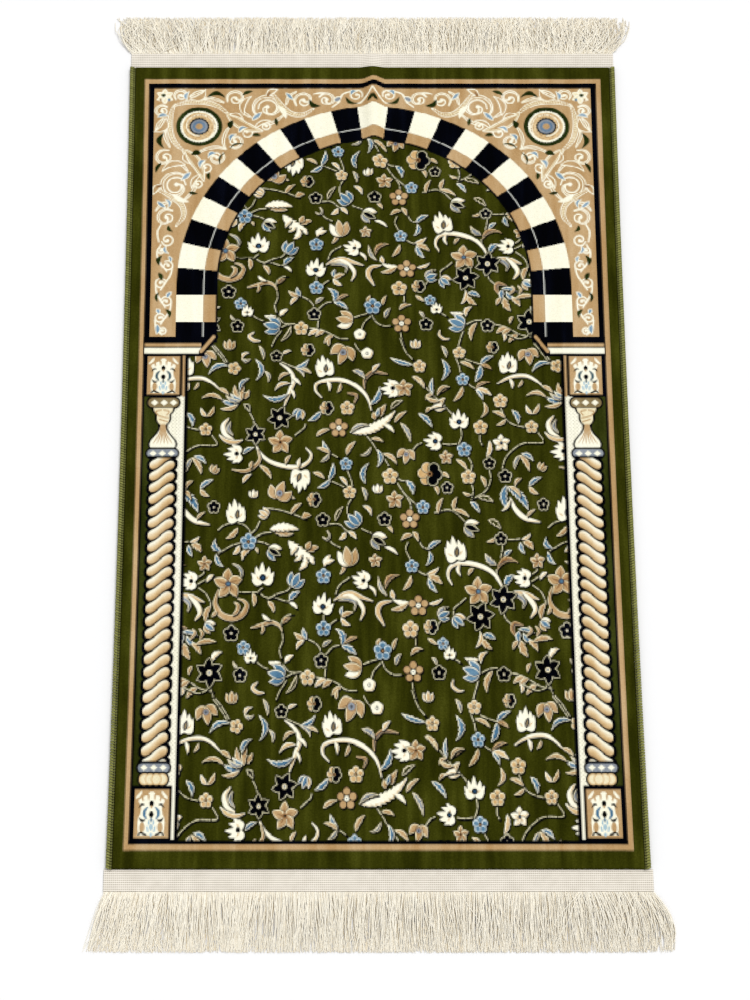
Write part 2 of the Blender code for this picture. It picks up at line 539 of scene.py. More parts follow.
def flame(chart, x, y, size, heading, dress):
    """A slim ragged flower, with a folded leaf for its eye."""
    size = 0.86 * size
    ragged(chart, x, y, size, heading, dress, SLIM)
    fold = petal(*ahead(x, y, heading, -0.36 * size), heading + 14, 0.48 * size, 0.24 * size)
    layered(chart, fold, (0, INK), (-1.0, SLATE), (-2.0, HUSK))


def aster(chart, x, y, size, heading, dress):
    """A small ragged flower that looks to one side."""
    ragged(chart, x, y, 1.6 * size, heading, dress, BROAD)
    plain(chart, disc(*ahead(x, y, heading, -0.35 * size), 0.22 * size), INK)


def button(chart, x, y, size, heading, dress):
    """A round bud with a small dark heart."""
    shape = lobed(x, y, size, 5, 0.12, heading)
    shadow(chart, shape)
    dressed(chart, shape, dress, 1.0)
    plain(chart, disc(x, y, 0.28 * size), SLATE)
    plain(chart, disc(x, y, 0.14 * size), IVORY)


def open_petals(x, y, heading, size, width, fans):
    """A few broad petals from one base, each with its turn, reach and bend."""
    return [petal(x, y, heading + turn, reach * size, width * size, bend)
            for turn, reach, bend in fans]


def bell(chart, x, y, size, heading, dress):
    """Three broad pointed petals about a grey boss."""
    size = 0.9 * size
    bx, by = ahead(x, y, heading, -0.36 * size)
    fans = ((-46, 0.82, 0.12), (44, 0.82, -0.12), (0, 0.96, 0.04))
    posy(chart, open_petals(bx, by, heading, size, 0.46, fans), [dress] * 3, 1.3)
    cx, cy = ahead(bx, by, heading, 0.30 * size)
    layered(chart, disc(cx, cy, 0.20 * size), (0, BROWN), (-1.0, GREY))
    plain(chart, disc(cx, cy, 0.07 * size), SLATE)


def fan(chart, x, y, size, heading, dress):
    """A half-open flower of three petals; two or three dresses go from left to right."""
    size = 0.93 * size
    bx, by = ahead(x, y, heading, -0.5 * size)
    sides = dress.split("-")
    left, middle, right = sides[0], sides[len(sides) // 2], sides[-1]
    petals = open_petals(bx, by, heading, size, 0.42, ((-30, 0.95, 0.10), (30, 0.95, -0.10)))
    petals += open_petals(bx, by, heading, size, 0.46, ((0, 1.0, 0.0),))
    posy(chart, petals, (left, right, middle))


FLOWER_KINDS = {
    draw.__name__: draw
    for draw in (rosette, pair, daisy, star, bloom, palmette, flame, aster, button, bell, fan)
}


def flower(chart, kind, x, y, size, dress="tan", heading=0):
    """One flower of the field's table."""
    FLOWER_KINDS[kind](chart, x, y, size, heading, dress)


# The field repeats across and down the rug by these steps.
REPEAT_ACROSS = (448, -3.5)
REPEAT_DOWN = (10, 472)

# One repeat's flowers, kind by kind: x, y, size, and the dress and heading where not tan and 0.
FIELD_FLOWERS = (
    ("rosette", (-136, 465, 8, "black"), (-195, 483, 9, "tan", 20), (-233, 570, 9),
     (-220, 677, 8, "black"), (62, 480, 9), (-38, 540, 10), (-40, 618, 9, "blue"), (-35, 657, 9),
     (20, 635, 11), (64, 677, 9, "blue"), (-72, 694, 9, "black"), (12, 693, 9, "black"), (118, 460, 9),
     (122, 499, 9, "blue"), (173, 530, 10), (122, 598, 10, "blue"), (145, 567, 10),
     (156, 617, 8, "black"), (127, 636, 10), (98, 651, 8, "black"), (177, 635, 9, "black"),
     (-172, 723, 11, "blue"), (-194, 841, 10, "black"), (-177, 859, 9, "blue"), (-181, 893, 9, "black"),
     (-92, 896, 10), (-71, 768, 10, "blue"), (48, 755, 9, "blue"), (-71, 835, 10, "blue"),
     (-74, 875, 9, "black"), (8, 863, 12, "blue"), (45, 836, 11), (82, 890, 9, "black"),
     (169, 719, 8, "black"), (88, 854, 8, "blue"), (168, 892, 9, "black")),
    ("fan", (-202, 448, 16), (-220, 625, 13, "tan", 30), (-166, 659, 12, "white"),
     (-152, 685, 15, "cream", 300), (57, 447, 14, "cream"), (3, 652, 13, "white"),
     (-30, 694, 23, "blue", 315), (-137, 737, 20, "white-black-blue", 120), (-108, 773, 22, "blue", 30),
     (-223, 833, 16, "white-blue-tan", 120), (-38, 742, 28, "white-tan", 350),
     (4, 722, 22, "white-black-grey", 120), (-32, 883, 26, "white-tan-tan", 280),
     (130, 705, 22, "white-black-grey", 110), (90, 817, 18, "grey-blue", 70),
     (110, 825, 18, "cream-blue", 130), (-133, 892, 25, "blue", 282), (125, 888, 25, "blue", 290)),
    ("aster", (-195, 604, 14, "white", 270), (20, 512, 14, "white", 270), (-167, 869, 9, "white"),
     (-21, 772, 13, "white", 290), (195, 770, 13, "white", 280), (97, 865, 9, "white")),
    ("bloom", (-130, 588, 17), (40, 512, 13), (26, 667, 12), (173, 589, 12, "white"), (97, 609, 10),
     (-231, 752, 10), (-199, 778, 20, "amber"), (-1, 748, 9), (137, 788, 19, "amber")),
    ("pair", (-93, 456, 9), (-67, 540, 9), (74, 632, 16), (-84, 667, 9), (164, 452, 8), (72, 833, 9)),
    ("flame", (-103, 641, 34, "white", 185), (-190, 683, 34, "white", 352),
     (-70, 480, 32, "white", 350), (185, 475, 32, "white"), (107, 733, 36, "white", 350)),
    ("star", (-164, 577, 14, "black"), (-131, 554, 16, "black", 20), (-222, 890, 18, "black"),
     (170, 798, 18, "black", 10), (139, 820, 18, "black", 20)),
    ("bell", (-130, 657, 29, "tan", 20), (-44, 461, 32, "tan", 200), (42, 606, 22, "tan", 190),
     (213, 464, 26, "tan", 170)),
    ("daisy", (-50, 568, 13), (46, 693, 13), (56, 806, 13), (48, 889, 13)),
    ("palmette", (78, 586, 28, "white", 280), (116, 555, 30, "white"), (-152, 765, 34, "white"),
     (-71, 803, 31, "white", 10)),
    ("button", (-10, 461, 8, "white"), (-10, 905, 8, "white")),
    ("fan", (-105, 549, 16, "cream-blue", 200)),
)

# One repeat's leaves, dress by dress: stalk x and y, tip x and y, width, and the bend if not 0.1.
FIELD_LEAVES = (
    ("cream", (-184, 470, -174, 460, 5, 0.25), (-128, 462, -116, 457, 4),
     (-117, 505, -138, 515, 6, -0.2), (-232, 552, -240, 540, 6), (-181, 644, -169, 632, 6),
     (-3, 488, 7, 477, 6), (-49, 636, -38, 648, 6), (-17, 675, -6, 688, 6, 0.2), (86, 536, 97, 526, 5),
     (157, 586, 152, 610, 7), (-184, 728, -193, 740, 8), (-170, 733, -180, 747, 8, -0.2),
     (-258, 908, -258, 918, 5, 0.2), (-40, 711, -50, 720, 7), (-37, 710, -26, 719, 6),
     (68, 766, 84, 757, 6, -0.1), (24, 797, 21, 786, 7), (70, 804, 88, 797, 5, -0.1),
     (-68, 898, -82, 907, 8, -0.1), (197, 720, 209, 713, 5, -0.1), (139, 840, 132, 859, 6, 0.15)),
    ("tan", (-118, 490, -133, 500, 5, -0.2), (-188, 528, -194, 508, 8), (-184, 527, -173, 515, 8, -0.1),
     (-231, 552, -222, 538, 6, -0.1), (-170, 624, -168, 614, 5), (-158, 620, -142, 638, 7),
     (-123, 618, -116, 606, 5), (-124, 662, -110, 666, 5), (-115, 686, -101, 672, 6),
     (-100, 692, -88, 688, 9, 0.2), (-64, 450, -62, 438, 5), (-47, 505, -52, 518, 5),
     (52, 495, 69, 509, 7), (-81, 579, -63, 570, 6), (8, 552, 15, 535, 8), (0, 556, -2, 546, 8, 0),
     (27, 560, 43, 545, 6), (-5, 583, 11, 587, 5), (-39, 605, -27, 587, 7), (-85, 630, -70, 638, 6),
     (78, 645, 85, 660, 6), (70, 528, 80, 521, 5, 0.2), (70, 546, 80, 540, 5, 0.2),
     (119, 474, 138, 484, 6), (122, 510, 109, 530, 7), (232, 509, 246, 518, 6), (204, 500, 198, 510, 4),
     (179, 553, 162, 545, 6, -0.1), (180, 556, 167, 564, 5), (150, 532, 146, 553, 6, 0.25),
     (144, 635, 150, 650, 6), (111, 612, 126, 627, 6), (130, 661, 119, 657, 4), (89, 630, 101, 637, 6),
     (84, 685, 91, 665, 6), (106, 680, 111, 664, 6), (105, 680, 127, 690, 6), (-187, 705, -203, 719, 7),
     (-140, 708, -112, 713, 8, -0.05), (-163, 731, -159, 738, 4), (-214, 813, -220, 820, 5, 0),
     (-165, 790, -164, 807, 7), (-145, 800, -137, 814, 7), (-95, 848, -110, 840, 7),
     (88, 530, 70, 524, 6, 0.12), (86, 522, 104, 510, 5, 0.25), (54, 494, 68, 512, 7),
     (-42, 752, -49, 766, 6), (15, 702, 23, 711, 5), (50, 710, 57, 722, 6),
     (49, 714, 34, 721, 6, -0.15), (70, 768, 88, 778, 9), (47, 768, 36, 786, 7),
     (-60, 900, -72, 908, 7, -0.1), (-48, 907, -60, 918, 7, -0.1), (0, 855, 5, 847, 5, 0),
     (22, 861, 27, 847, 5), (45, 868, 61, 861, 6, 0.2), (68, 847, 80, 855, 5, 0),
     (162, 718, 150, 723, 5), (199, 723, 212, 733, 10, 0.15), (131, 758, 124, 767, 5, -0.1),
     (141, 848, 153, 861, 9, -0.1), (62, 500, 68, 512, 4), (153, 888, 145, 914, 8, -0.15),
     (195, 895, 180, 903, 8, -0.1), (200, 897, 188, 906, 7, -0.1), (210, 905, 197, 917, 8, -0.1),
     (203, 878, 199, 889, 5, -0.1), (226, 803, 220, 824, 8, -0.15)),
    ("blue", (-165, 470, -164, 500, 8, 0.27), (-110, 482, -92, 470, 7, -0.15),
     (-120, 520, -154, 522, 8, 0.2), (-204, 479, -230, 491, 7, -0.2), (-186, 532, -213, 527, 8, 0.15),
     (-184, 528, -200, 520, 6), (-181, 604, -166, 595, 6), (-239, 652, -222, 640, 7),
     (-6, 535, 7, 510, 9, -0.15), (52, 478, 22, 468, 7, 0.05), (-75, 545, -92, 558, 8),
     (2, 552, 6, 540, 6, 0), (3, 598, 3, 622, 7, 0.2), (-62, 603, -72, 586, 7),
     (-64, 640, -58, 617, 8, -0.1), (-62, 640, -79, 651, 7), (-14, 645, -9, 617, 8, 0.2),
     (42, 641, 51, 660, 9, 0.15), (60, 548, 78, 567, 8), (94, 470, 93, 500, 9, 0.25),
     (147, 477, 165, 465, 7), (147, 479, 139, 502, 10), (189, 543, 197, 562, 8, 0.15),
     (129, 670, 141, 684, 7), (178, 648, 179, 680, 11, -0.14), (180, 650, 207, 680, 13),
     (-209, 736, -217, 719, 9, 0.3), (-216, 740, -206, 756, 7, -0.15), (-117, 799, -103, 788, 8),
     (-93, 848, -98, 834, 7), (80, 520, 80, 497, 6), (70, 733, 87, 722, 7), (72, 736, 67, 754, 7, 0.2),
     (70, 770, 81, 789, 8, -0.1), (-47, 818, -45, 807, 6), (-46, 857, -55, 835, 10, -0.25),
     (195, 724, 200, 739, 7, -0.1), (173, 743, 183, 734, 6), (173, 781, 185, 767, 10, 0.15),
     (142, 843, 158, 848, 8), (190, 838, 189, 853, 8, -0.1), (189, 836, 210, 841, 6),
     (195, 841, 208, 851, 7, -0.2)),
    ("white", (-114, 497, -103, 507, 5), (-117, 513, -111, 526, 4), (-105, 622, -103, 610, 5),
     (-66, 501, -63, 516, 5), (-34, 574, 28, 544, 15, -0.12), (12, 563, 26, 574, 6),
     (187, 498, 190, 512, 5), (183, 668, 171, 682, 4), (-143, 707, -105, 707, 13, 0.08),
     (-116, 802, -106, 810, 5), (-152, 817, -141, 825, 5, -0.1), (-127, 878, -143, 877, 7),
     (-122, 877, -111, 868, 7), (97, 537, 75, 542, 5, -0.12), (-219, 876, -206, 864, 8, 0.2),
     (-70, 755, -62, 741, 8), (-68, 752, -57, 747, 6), (12, 730, 29, 740, 5), (44, 802, 22, 798, 7),
     (113, 752, 114, 768, 5, -0.2), (135, 874, 117, 872, 7), (229, 763, 220, 772, 5, -0.1),
     (-118, 722, -84, 745, 16, -0.1), (-95, 743, -103, 760, 9, 0.15), (-106, 730, -114, 741, 7, -0.15),
     (-100, 740, -110, 748, 5), (-89, 744, -84, 752, 6, 0)),
    ("grey", (-184, 470, -172, 470, 5, -0.2), (-152, 487, -147, 502, 5, 0.2), (-160, 450, -154, 470, 5),
     (-110, 483, -98, 495, 6, 0.2), (-30, 486, -13, 498, 8, 0.15), (-33, 573, -9, 564, 6, 0.15),
     (35, 561, 48, 587, 7), (-6, 595, -20, 606, 5, 0.2), (-18, 650, -13, 668, 6),
     (94, 450, 100, 467, 6), (198, 606, 190, 625, 6, -0.1), (-184, 885, -191, 876, 4),
     (14, 793, 3, 769, 6, 0.12), (-72, 858, -61, 850, 6), (25, 880, 32, 866, 7), (73, 871, 79, 880, 5),
     (162, 753, 147, 739, 9, 0.12)),
    ("tan", (-102, 484, -88, 490, 5), (-211, 528, -239, 526, 6, -0.2), (-190, 536, -213, 541, 6),
     (-184, 529, -181, 505, 8, 0.06), (-239, 653, -227, 663, 7, -0.1), (11, 604, 29, 618, 7, 0.15),
     (-63, 603, -80, 596, 6, -0.1), (198, 606, 210, 628, 8), (181, 649, 197, 664, 6, 0.15),
     (205, 690, 216, 680, 4), (199, 638, 190, 649, 5, -0.2), (92, 536, 97, 526, 4),
     (42, 803, 20, 811, 7), (-47, 821, -31, 814, 7), (188, 850, 181, 861, 6, -0.1),
     (192, 850, 200, 870, 11, -0.1), (202, 850, 214, 863, 8), (208, 851, 234, 848, 7),
     (-92, 736, -78, 730, 10), (-94, 733, -89, 723, 9, 0)),
    ("brown", (148, 478, 162, 484, 5), (140, 512, 159, 503, 5, 0.15), (-125, 828, -115, 821, 6),
     (12, 784, 31, 767, 7, 0.25), (-42, 853, -26, 846, 5), (163, 760, 191, 750, 8, 0.3)),
    ("hollow", (22, 541, 38, 529, 7), (-55, 695, -44, 676, 6), (140, 664, 160, 670, 8),
     (-106, 893, -120, 915, 6), (153, 694, 169, 706, 9)),
    ("cream", (141, 513, 161, 522, 8), (-97, 850, -107, 861, 6, -0.15), (-48, 822, -35, 831, 7, -0.1),
     (138, 878, 147, 864, 7, 0.25)),
    ("black", (-180, 534, -172, 545, 8), (83, 816, 97, 808, 5, 0.15)),
    ("blue", (-187, 515, -174, 498, 7, 0.2), (140, 514, 149, 528, 6), (200, 604, 216, 614, 7, 0.15),
     (-46, 857, -27, 867, 9), (92, 810, 95, 824, 8, -0.1)),
    ("grey", (-186, 530, -206, 522, 7, 0.15), (-63, 604, -75, 615, 6)),
)

# One repeat's stout stems and hooks, dress by dress: width and points.
FIELD_STEMS = (
    ("cream", (5, (-158, 902), (-164, 908), (-158, 914), (-149, 915)),
     (7, (20, 800), (6, 804), (2, 815), (10, 831)),
     (6, (-57, 799), (-45, 792), (-33, 790), (-20, 795), (-5, 800)),
     (6, (185, 788), (200, 791), (217, 798)), (4, (101, 899), (100, 906), (107, 912), (114, 912))),
    ("white", (6, (-131, 476), (-118, 486), (-112, 500), (-117, 515), (-125, 537)),
     (7, (-202, 555), (-209, 565), (-206, 577), (-195, 584)),
     (6, (-164, 590), (-158, 602), (-145, 614), (-125, 621), (-105, 622), (-92, 615), (-88, 605),
      (-95, 596)),
     (6, (-74, 525), (-82, 515), (-80, 505), (-65, 500), (-45, 500), (-28, 507), (-15, 518),
      (-8, 530), (-5, 543)),
     (5, (170, 505), (182, 498), (195, 494), (210, 494), (222, 500), (232, 509)),
     (3.5, (80, 540), (88, 543), (97, 540)), (7, (183, 665), (190, 680), (203, 692), (222, 697)),
     (4, (-11, 780), (-3, 786), (-1, 792)),
     (6, (-50, 796), (-36, 793), (-24, 800), (-17, 812), (-21, 824)),
     (6.5, (102, 779), (97, 768), (100, 757), (112, 751), (130, 752), (148, 758), (160, 767),
      (168, 780), (170, 790)), (7, (196, 789), (207, 800), (212, 811), (206, 821))),
    ("tan", (5, (-161, 598), (-158, 612), (-166, 622), (-178, 628), (-196, 626)),
     (9, (-212, 786), (-216, 803), (-208, 817), (-194, 822), (-180, 818), (-173, 807), (-177, 800),
      (-186, 797)), (6, (-192, 818), (-186, 812), (-185, 806), (-190, 802)),
     (4, (-245, 836), (-242, 841), (-248, 848)),
     (5, (-167, 834), (-152, 830), (-140, 827), (-130, 831), (-126, 838)),
     (4, (-152, 830), (-151, 836), (-153, 841)), (4, (212, 832), (216, 838), (213, 844))),
    ("grey", (5, (-199, 560), (-202, 570), (-196, 578)),
     (5, (-193, 752), (-184, 757), (-180, 765), (-183, 771)),
     (3, (-66, 709), (-63, 715), (-66, 720), (-72, 717)),
     (5, (-50, 799), (-37, 798), (-28, 802), (-29, 811)),
     (6, (181, 793), (191, 794), (198, 801), (196, 809))),
    ("brown", (5, (-14, 512), (-14, 500), (-8, 492), (0, 488), (17, 491)),
     (4, (-28, 532), (-25, 522), (-37, 519)), (4, (86, 520), (95, 514), (103, 510)),
     (6, (195, 831), (184, 829), (181, 836), (186, 846))),
    ("cream", (6, (-214, 578), (-206, 585), (-194, 588), (-182, 585))),
)

# One repeat's thin stalks: their points.
FIELD_VINES = (
    ((68, 508), (80, 522), (95, 536), (106, 548)), ((-131, 473), (-120, 478), (-110, 482)),
    ((-223, 450), (-214, 460), (-205, 474)), ((-172, 547), (-167, 557), (-165, 568)),
    ((-110, 578), (-98, 568), (-96, 563)), ((-148, 678), (-128, 681), (-110, 687), (-95, 693)),
    ((-27, 447), (-23, 454), (-17, 460)), ((36, 440), (43, 458), (54, 472)),
    ((-12, 578), (-3, 590), (3, 600), (12, 610), (18, 620)), ((-61, 604), (-55, 607), (-50, 610)),
    ((-38, 627), (-33, 640), (-31, 650)), ((-60, 642), (-51, 646), (-42, 650)),
    ((-32, 665), (-38, 676), (-38, 688)), ((30, 638), (36, 641), (43, 641)),
    ((30, 645), (40, 660), (55, 674)), ((43, 665), (47, 672), (48, 680)),
    ((52, 598), (57, 592), (63, 589)), ((93, 590), (102, 591), (112, 590)),
    ((113, 468), (117, 478), (119, 488)), ((126, 470), (137, 474), (147, 477)),
    ((130, 506), (135, 510), (140, 512)), ((222, 447), (231, 458), (240, 471)),
    ((173, 539), (180, 555), (190, 563), (205, 567)), ((118, 568), (119, 579), (115, 590)),
    ((127, 608), (132, 618), (131, 628)), ((144, 578), (144, 586), (147, 592)),
    ((224, 575), (230, 588), (205, 589), (190, 597), (178, 610), (173, 625)),
    ((156, 627), (157, 640), (150, 655), (130, 668)), ((131, 645), (133, 655), (131, 665)),
    ((80, 684), (103, 681), (125, 700)),
    ((-214, 708), (-205, 701), (-190, 698), (-178, 701), (-171, 708), (-169, 713)),
    ((-157, 696), (-162, 706), (-169, 713)), ((-163, 717), (-152, 712), (-142, 711)),
    ((-162, 722), (-152, 724), (-145, 727)), ((-182, 724), (-195, 728), (-205, 734), (-215, 740)),
    ((-238, 769), (-232, 764), (-234, 758)),
    ((-190, 786), (-180, 789), (-160, 789), (-148, 795), (-135, 796), (-122, 800), (-115, 800)),
    ((-158, 788), (-155, 785), (-152, 783)), ((-145, 797), (-132, 791), (-120, 787), (-115, 782)),
    ((210, 780), (220, 788), (226, 800), (224, 810)), ((229, 765), (218, 769), (208, 775)),
    ((-126, 838), (-125, 850), (-129, 862), (-126, 874)),
    ((-128, 833), (-125, 823), (-118, 818), (-111, 817)), ((-160, 876), (-150, 883), (-145, 885)),
    ((-124, 880), (-117, 888), (-108, 890)), ((-120, 900), (-128, 912), (-133, 923)),
    ((-122, 896), (-112, 891), (-100, 889)),
    ((-255, 908), (-238, 915), (-226, 912), (-222, 906), (-216, 920)),
    ((-66, 700), (-50, 700), (-40, 708), (-35, 711)), ((-62, 722), (-58, 726), (-48, 731)),
    ((-19, 706), (-13, 709), (-6, 712)), ((58, 722), (63, 730), (70, 733)),
    ((43, 724), (40, 733), (45, 745)), ((57, 762), (62, 765), (68, 767)),
    ((-36, 770), (-50, 780), (-55, 792)), ((-71, 818), (-71, 823), (-70, 828)),
    ((-62, 830), (-57, 826), (-52, 823)), ((-92, 848), (-82, 853), (-76, 860), (-74, 868)),
    ((-68, 867), (-58, 858), (-50, 856)), ((-95, 894), (-70, 897), (-55, 902), (-40, 911), (-27, 912)),
    ((-68, 884), (-69, 890), (-69, 895)), ((-20, 880), (-8, 876), (0, 874)),
    ((6, 874), (12, 886), (22, 892), (34, 892)), ((5, 878), (-4, 888), (-8, 898)),
    ((52, 845), (52, 852), (51, 858)), ((46, 900), (48, 912), (52, 924)),
    ((177, 720), (186, 720), (195, 719)), ((171, 727), (170, 736), (168, 744)),
    ((164, 770), (162, 764), (162, 758)), ((120, 796), (112, 803), (104, 810), (103, 820)),
    ((170, 812), (172, 822), (180, 830)), ((101, 872), (107, 875), (112, 878)),
    ((139, 890), (150, 885), (162, 884)), ((177, 890), (190, 893), (202, 899), (215, 906), (232, 910)),
    ((134, 900), (130, 912), (127, 922)), ((85, 826), (80, 832), (76, 834)),
    ((139, 834), (138, 840), (140, 846)),
)


def paint_repeat(chart):
    """Draws one repeat: stalks first, then stems, leaves and flowers over them."""
    for points in FIELD_VINES:
        vine(chart, points)
    for draw, table in ((stem, FIELD_STEMS), (leaf, FIELD_LEAVES), (flower, FIELD_FLOWERS)):
        for look, *rows in table:
            for row in rows:
                draw(chart, look, *row)


def paint_field(chart):
    """The olive ground with its flowers, repeated over the whole rug."""
    chart.colour[:] = OLIVE
    chart.cover[:] = 1
    for down in (-1, 0, 1):
        for across in (-1, 0, 1):
            chart.zero = [across * a + down * d for a, d in zip(REPEAT_ACROSS, REPEAT_DOWN)]
            paint_repeat(chart)


# ---- The arch, its corners and its columns, drawn for the left half and mirrored.

ARCH_CENTRE = (15.0, 359.6)
ARCH_OUTER, ARCH_SPLIT, ARCH_INNER = 292.0, 254.0, 237.0
ARCH_FOOT = 446.0
KEY_HALF_ANGLE, BLOCK_ANGLE = 7.2, 7.74
LAST_TURNED_BLOCK = 10
LOW_JOINTS = (374.2, 415.0)
JOINT_HALF = 0.6
CORNER_TOP, CORNER_FOOT = 38, 437
CORNER_BOX = (-313, 36, 0, 450)
FIELD_EDGE = 258.0
# The impost's mouldings: left, top, right, foot and dye.
IMPOST = (
    (-321, 437, -236, 466, INK), (-319, 446.5, -241, 451, TAN), (-319.5, 453, -241, 461, IVORY),
)

# The frame's stripes: dye, and boxes along the top, down the side and along the foot.
FRAME_STRIPES = (
    (OLIVE, (-355, -5, 5, 31), (-355, -5, -322, 1125), (-355, 1089, 5, 1125)),
    (TAN, (-327.5, 22, 5, 31), (-327.5, 22, -319, 1099), (-327.5, 1090, 5, 1099)),
    (INK, (-321, 29.5, 5, 38), (-321, 29.5, -313, 1092), (-321, 1088, 5, 1092)),
)


def arch_radius(x, y):
    """Distance from the arch's centre line: round above its spring, straight below."""
    return np.hypot(x - ARCH_CENTRE[0], np.minimum(y - ARCH_CENTRE[1], 0))


def paint_frame(half):
    """The outer olive, the tan stripe and the black stripe."""
    for dye, *boxes in FRAME_STRIPES:
        for box in boxes:
            plain(half, bar(*box), dye)


def paint_arch(half):
    """The corner ground and the arch of black and pale blocks."""
    place, x, y = half.window(*CORNER_BOX)
    radius = arch_radius(x, y)
    half.dye(place, deepest(ARCH_OUTER - radius, CORNER_TOP - y, y - CORNER_FOOT), TAN)
    angle = np.degrees(np.arctan2(ARCH_CENTRE[0] - x, ARCH_CENTRE[1] - y))
    block = np.minimum(np.floor((angle - KEY_HALF_ANGLE) / BLOCK_ANGLE), LAST_TURNED_BLOCK)
    for joint in LOW_JOINTS:
        block = block + (y > joint)
    pale = (block % 2 != 0) | (block < 0)
    rings = (
        (ARCH_INNER - 3, ARCH_OUTER, INK),
        (ARCH_SPLIT, ARCH_OUTER, IVORY),
        (ARCH_INNER, ARCH_SPLIT, TAN),
    )
    for inner, outer, dye in rings:
        ring = deepest(radius - outer, inner - radius, y - ARCH_FOOT)
        half.dye(place, ring, np.where(pale[..., None], dye, INK))
    joint = np.where(pale, FAR_AWAY, np.abs(radius - ARCH_SPLIT) - JOINT_HALF)
    half.dye(place, deepest(joint, y - ARCH_FOOT), SEAM)


def paint_impost(half):
    """The mouldings between the arch's foot and the column's panel."""
    for *box, dye in IMPOST:
        plain(half, bar(*box), dye)
    plain(half, stroke(((-222, 437), (-240, 459)), 9), INK)
    plain(half, stroke(((-224, 437), (-241, 458)), 4.5), TAN)


# The arabesque's pale threads, and the stitches across a ribbon.
THREAD = 1.5
RIBBON_SPACING = 3.4
STITCH_REACH, STITCH_WIDTH = 0.22, 1.2


def scroll(half, points, width=5.0, core=TAN):
    """A double pale line, as two threads with the ground between them."""
    layered(half, stroke(points, width, 2.5, 2.5), (0, IVORY), (-THREAD, core))


def curl(half, x, y, radius, heading, hand):
    """A line wound in to a bead: a double one where there is room."""
    if radius > 16:
        scroll(half, spiral(x, y, radius - 3, 1.0, heading, hand, 3.0), 5.4)
        points = spiral(x, y, 0.58 * radius, 1.2, heading + 40, hand, 2.6)
    elif radius > 11:
        scroll(half, spiral(x, y, radius - 2.0, 0.72, heading, hand, 5.0), 4.3)
        points = spiral(x, y, 0.55 * radius, 0.7, heading + 230 * hand, hand, 2.0)
    else:
        points = spiral(x, y, radius - 1.6, 1.25, heading, hand, 2.6)
    plain(half, stroke(points, 2.2, 1.9, 2.2), IVORY)
    plain(half, disc(*points[-1], 0.06 * radius + 1.7), IVORY)


def ribbon(half, points, width):
    """A broad band between two pale threads, with slanting stitches across its middle."""
    layered(half, stroke(points, width, 4, 3), (0, IVORY), (-THREAD, TAN), (-THREAD - 0.9, CREAM))
    path = smooth_path(points, RIBBON_SPACING)
    for (x, y), (ax, ay) in zip(path[1:-1], path[2:]):
        dx, dy = (ax - x) / RIBBON_SPACING, (ay - y) / RIBBON_SPACING
        reach = STITCH_REACH * width
        ends = ((x + reach * (dy + dx), y - reach * (dx - dy)), (x - reach * dy, y + reach * dx))
        plain(half, stroke(ends, STITCH_WIDTH), TAN)


def across_corner(x, y):
    """A point's twin over the line through the boss, from the corner to the arch."""
    x0, y0 = BOSS
    return x0 + y - y0, y0 + x - x0


BOSS = (-248.5, 103.5)
# The ribbons: their points and width.
RIBBONS = (
    (((-283, 67), (-271, 63.5), (-256, 61.5), (-241, 62), (-227, 66), (-216, 73.5), (-207, 83)), 9),
    (((-144, 46), (-133, 64), (-119, 80), (-101, 83), (-85, 73)), 8.5),
)


# The boss's rings from its rim in, to its dots and from there to its heart: radius, number of
# lobes, their dip and dye.
BOSS_RIM = (
    (36, 1, 0, TAN), (33, 1, 0, LEAF_GREEN), (26.8, 40, 0.035, IVORY), (23.5, 1, 0, LIGHT_TAN),
)
BOSS_HEART = (
    (14.8, 18, 0.07, INK), (12, 1, 0, GREY), (9, 1, 0, BLUE_SLATE), (6, 1, 0, GREY), (4.8, 1, 0, TAN),
)
# Its scattered dots: number, first turn, spread, step outwards, radius and dye.
BOSS_DOTS = ((90, 0, 8.5, 0.618, 0.9, IVORY), (64, 1, 8, 0.427, 0.8, BROWN))
DOTS_FROM = 15.5
GOLDEN_TURN = 2.39996


def paint_roundel(half):
    """The ringed boss in the corner."""
    x, y = BOSS
    for radius, lobes, dip, dye in BOSS_RIM:
        plain(half, lobed(x, y, radius, lobes, dip), dye)
    for count, first, spread, step, radius, dye in BOSS_DOTS:
        for index in range(count):
            angle = index * GOLDEN_TURN + first
            reach = DOTS_FROM + spread * ((index * step) % 1)
            plain(half, disc(x + reach * math.sin(angle), y + reach * math.cos(angle), radius), dye)
    for radius, lobes, dip, dye in BOSS_HEART:
        plain(half, lobed(x, y, radius, lobes, dip), dye)


# What stands on both sides of the corner's own middle line. Curls: x, y, radius, heading of the
# outer end, and hand.
CORNER_CURLS = (
    (-275, 51, 11.5, 230, 1), (-197, 56, 14.5, 250, 1), (-150, 72, 24, 225, 1),
    (-99, 60, 15, 235, 1), (-198, 129, 12.5, 215, -1), (-180, 114, 10.5, 285, 1),
    (-153, 103, 8, 330, 1), (-200, 91, 4.5, 200, 1),
)
CORNER_LINES = (
    ((-211, 142), (-214, 128), (-210, 112), (-203, 101)), ((-244, 56), (-232, 55), (-214, 62)),
    ((-189, 70), (-184, 80), (-174, 88)), ((-164, 99), (-148, 99), (-136, 92), (-126, 82)),
    ((-262, 52), (-254, 46), (-243, 42)), ((-124, 66), (-120, 52), (-110, 44)),
)
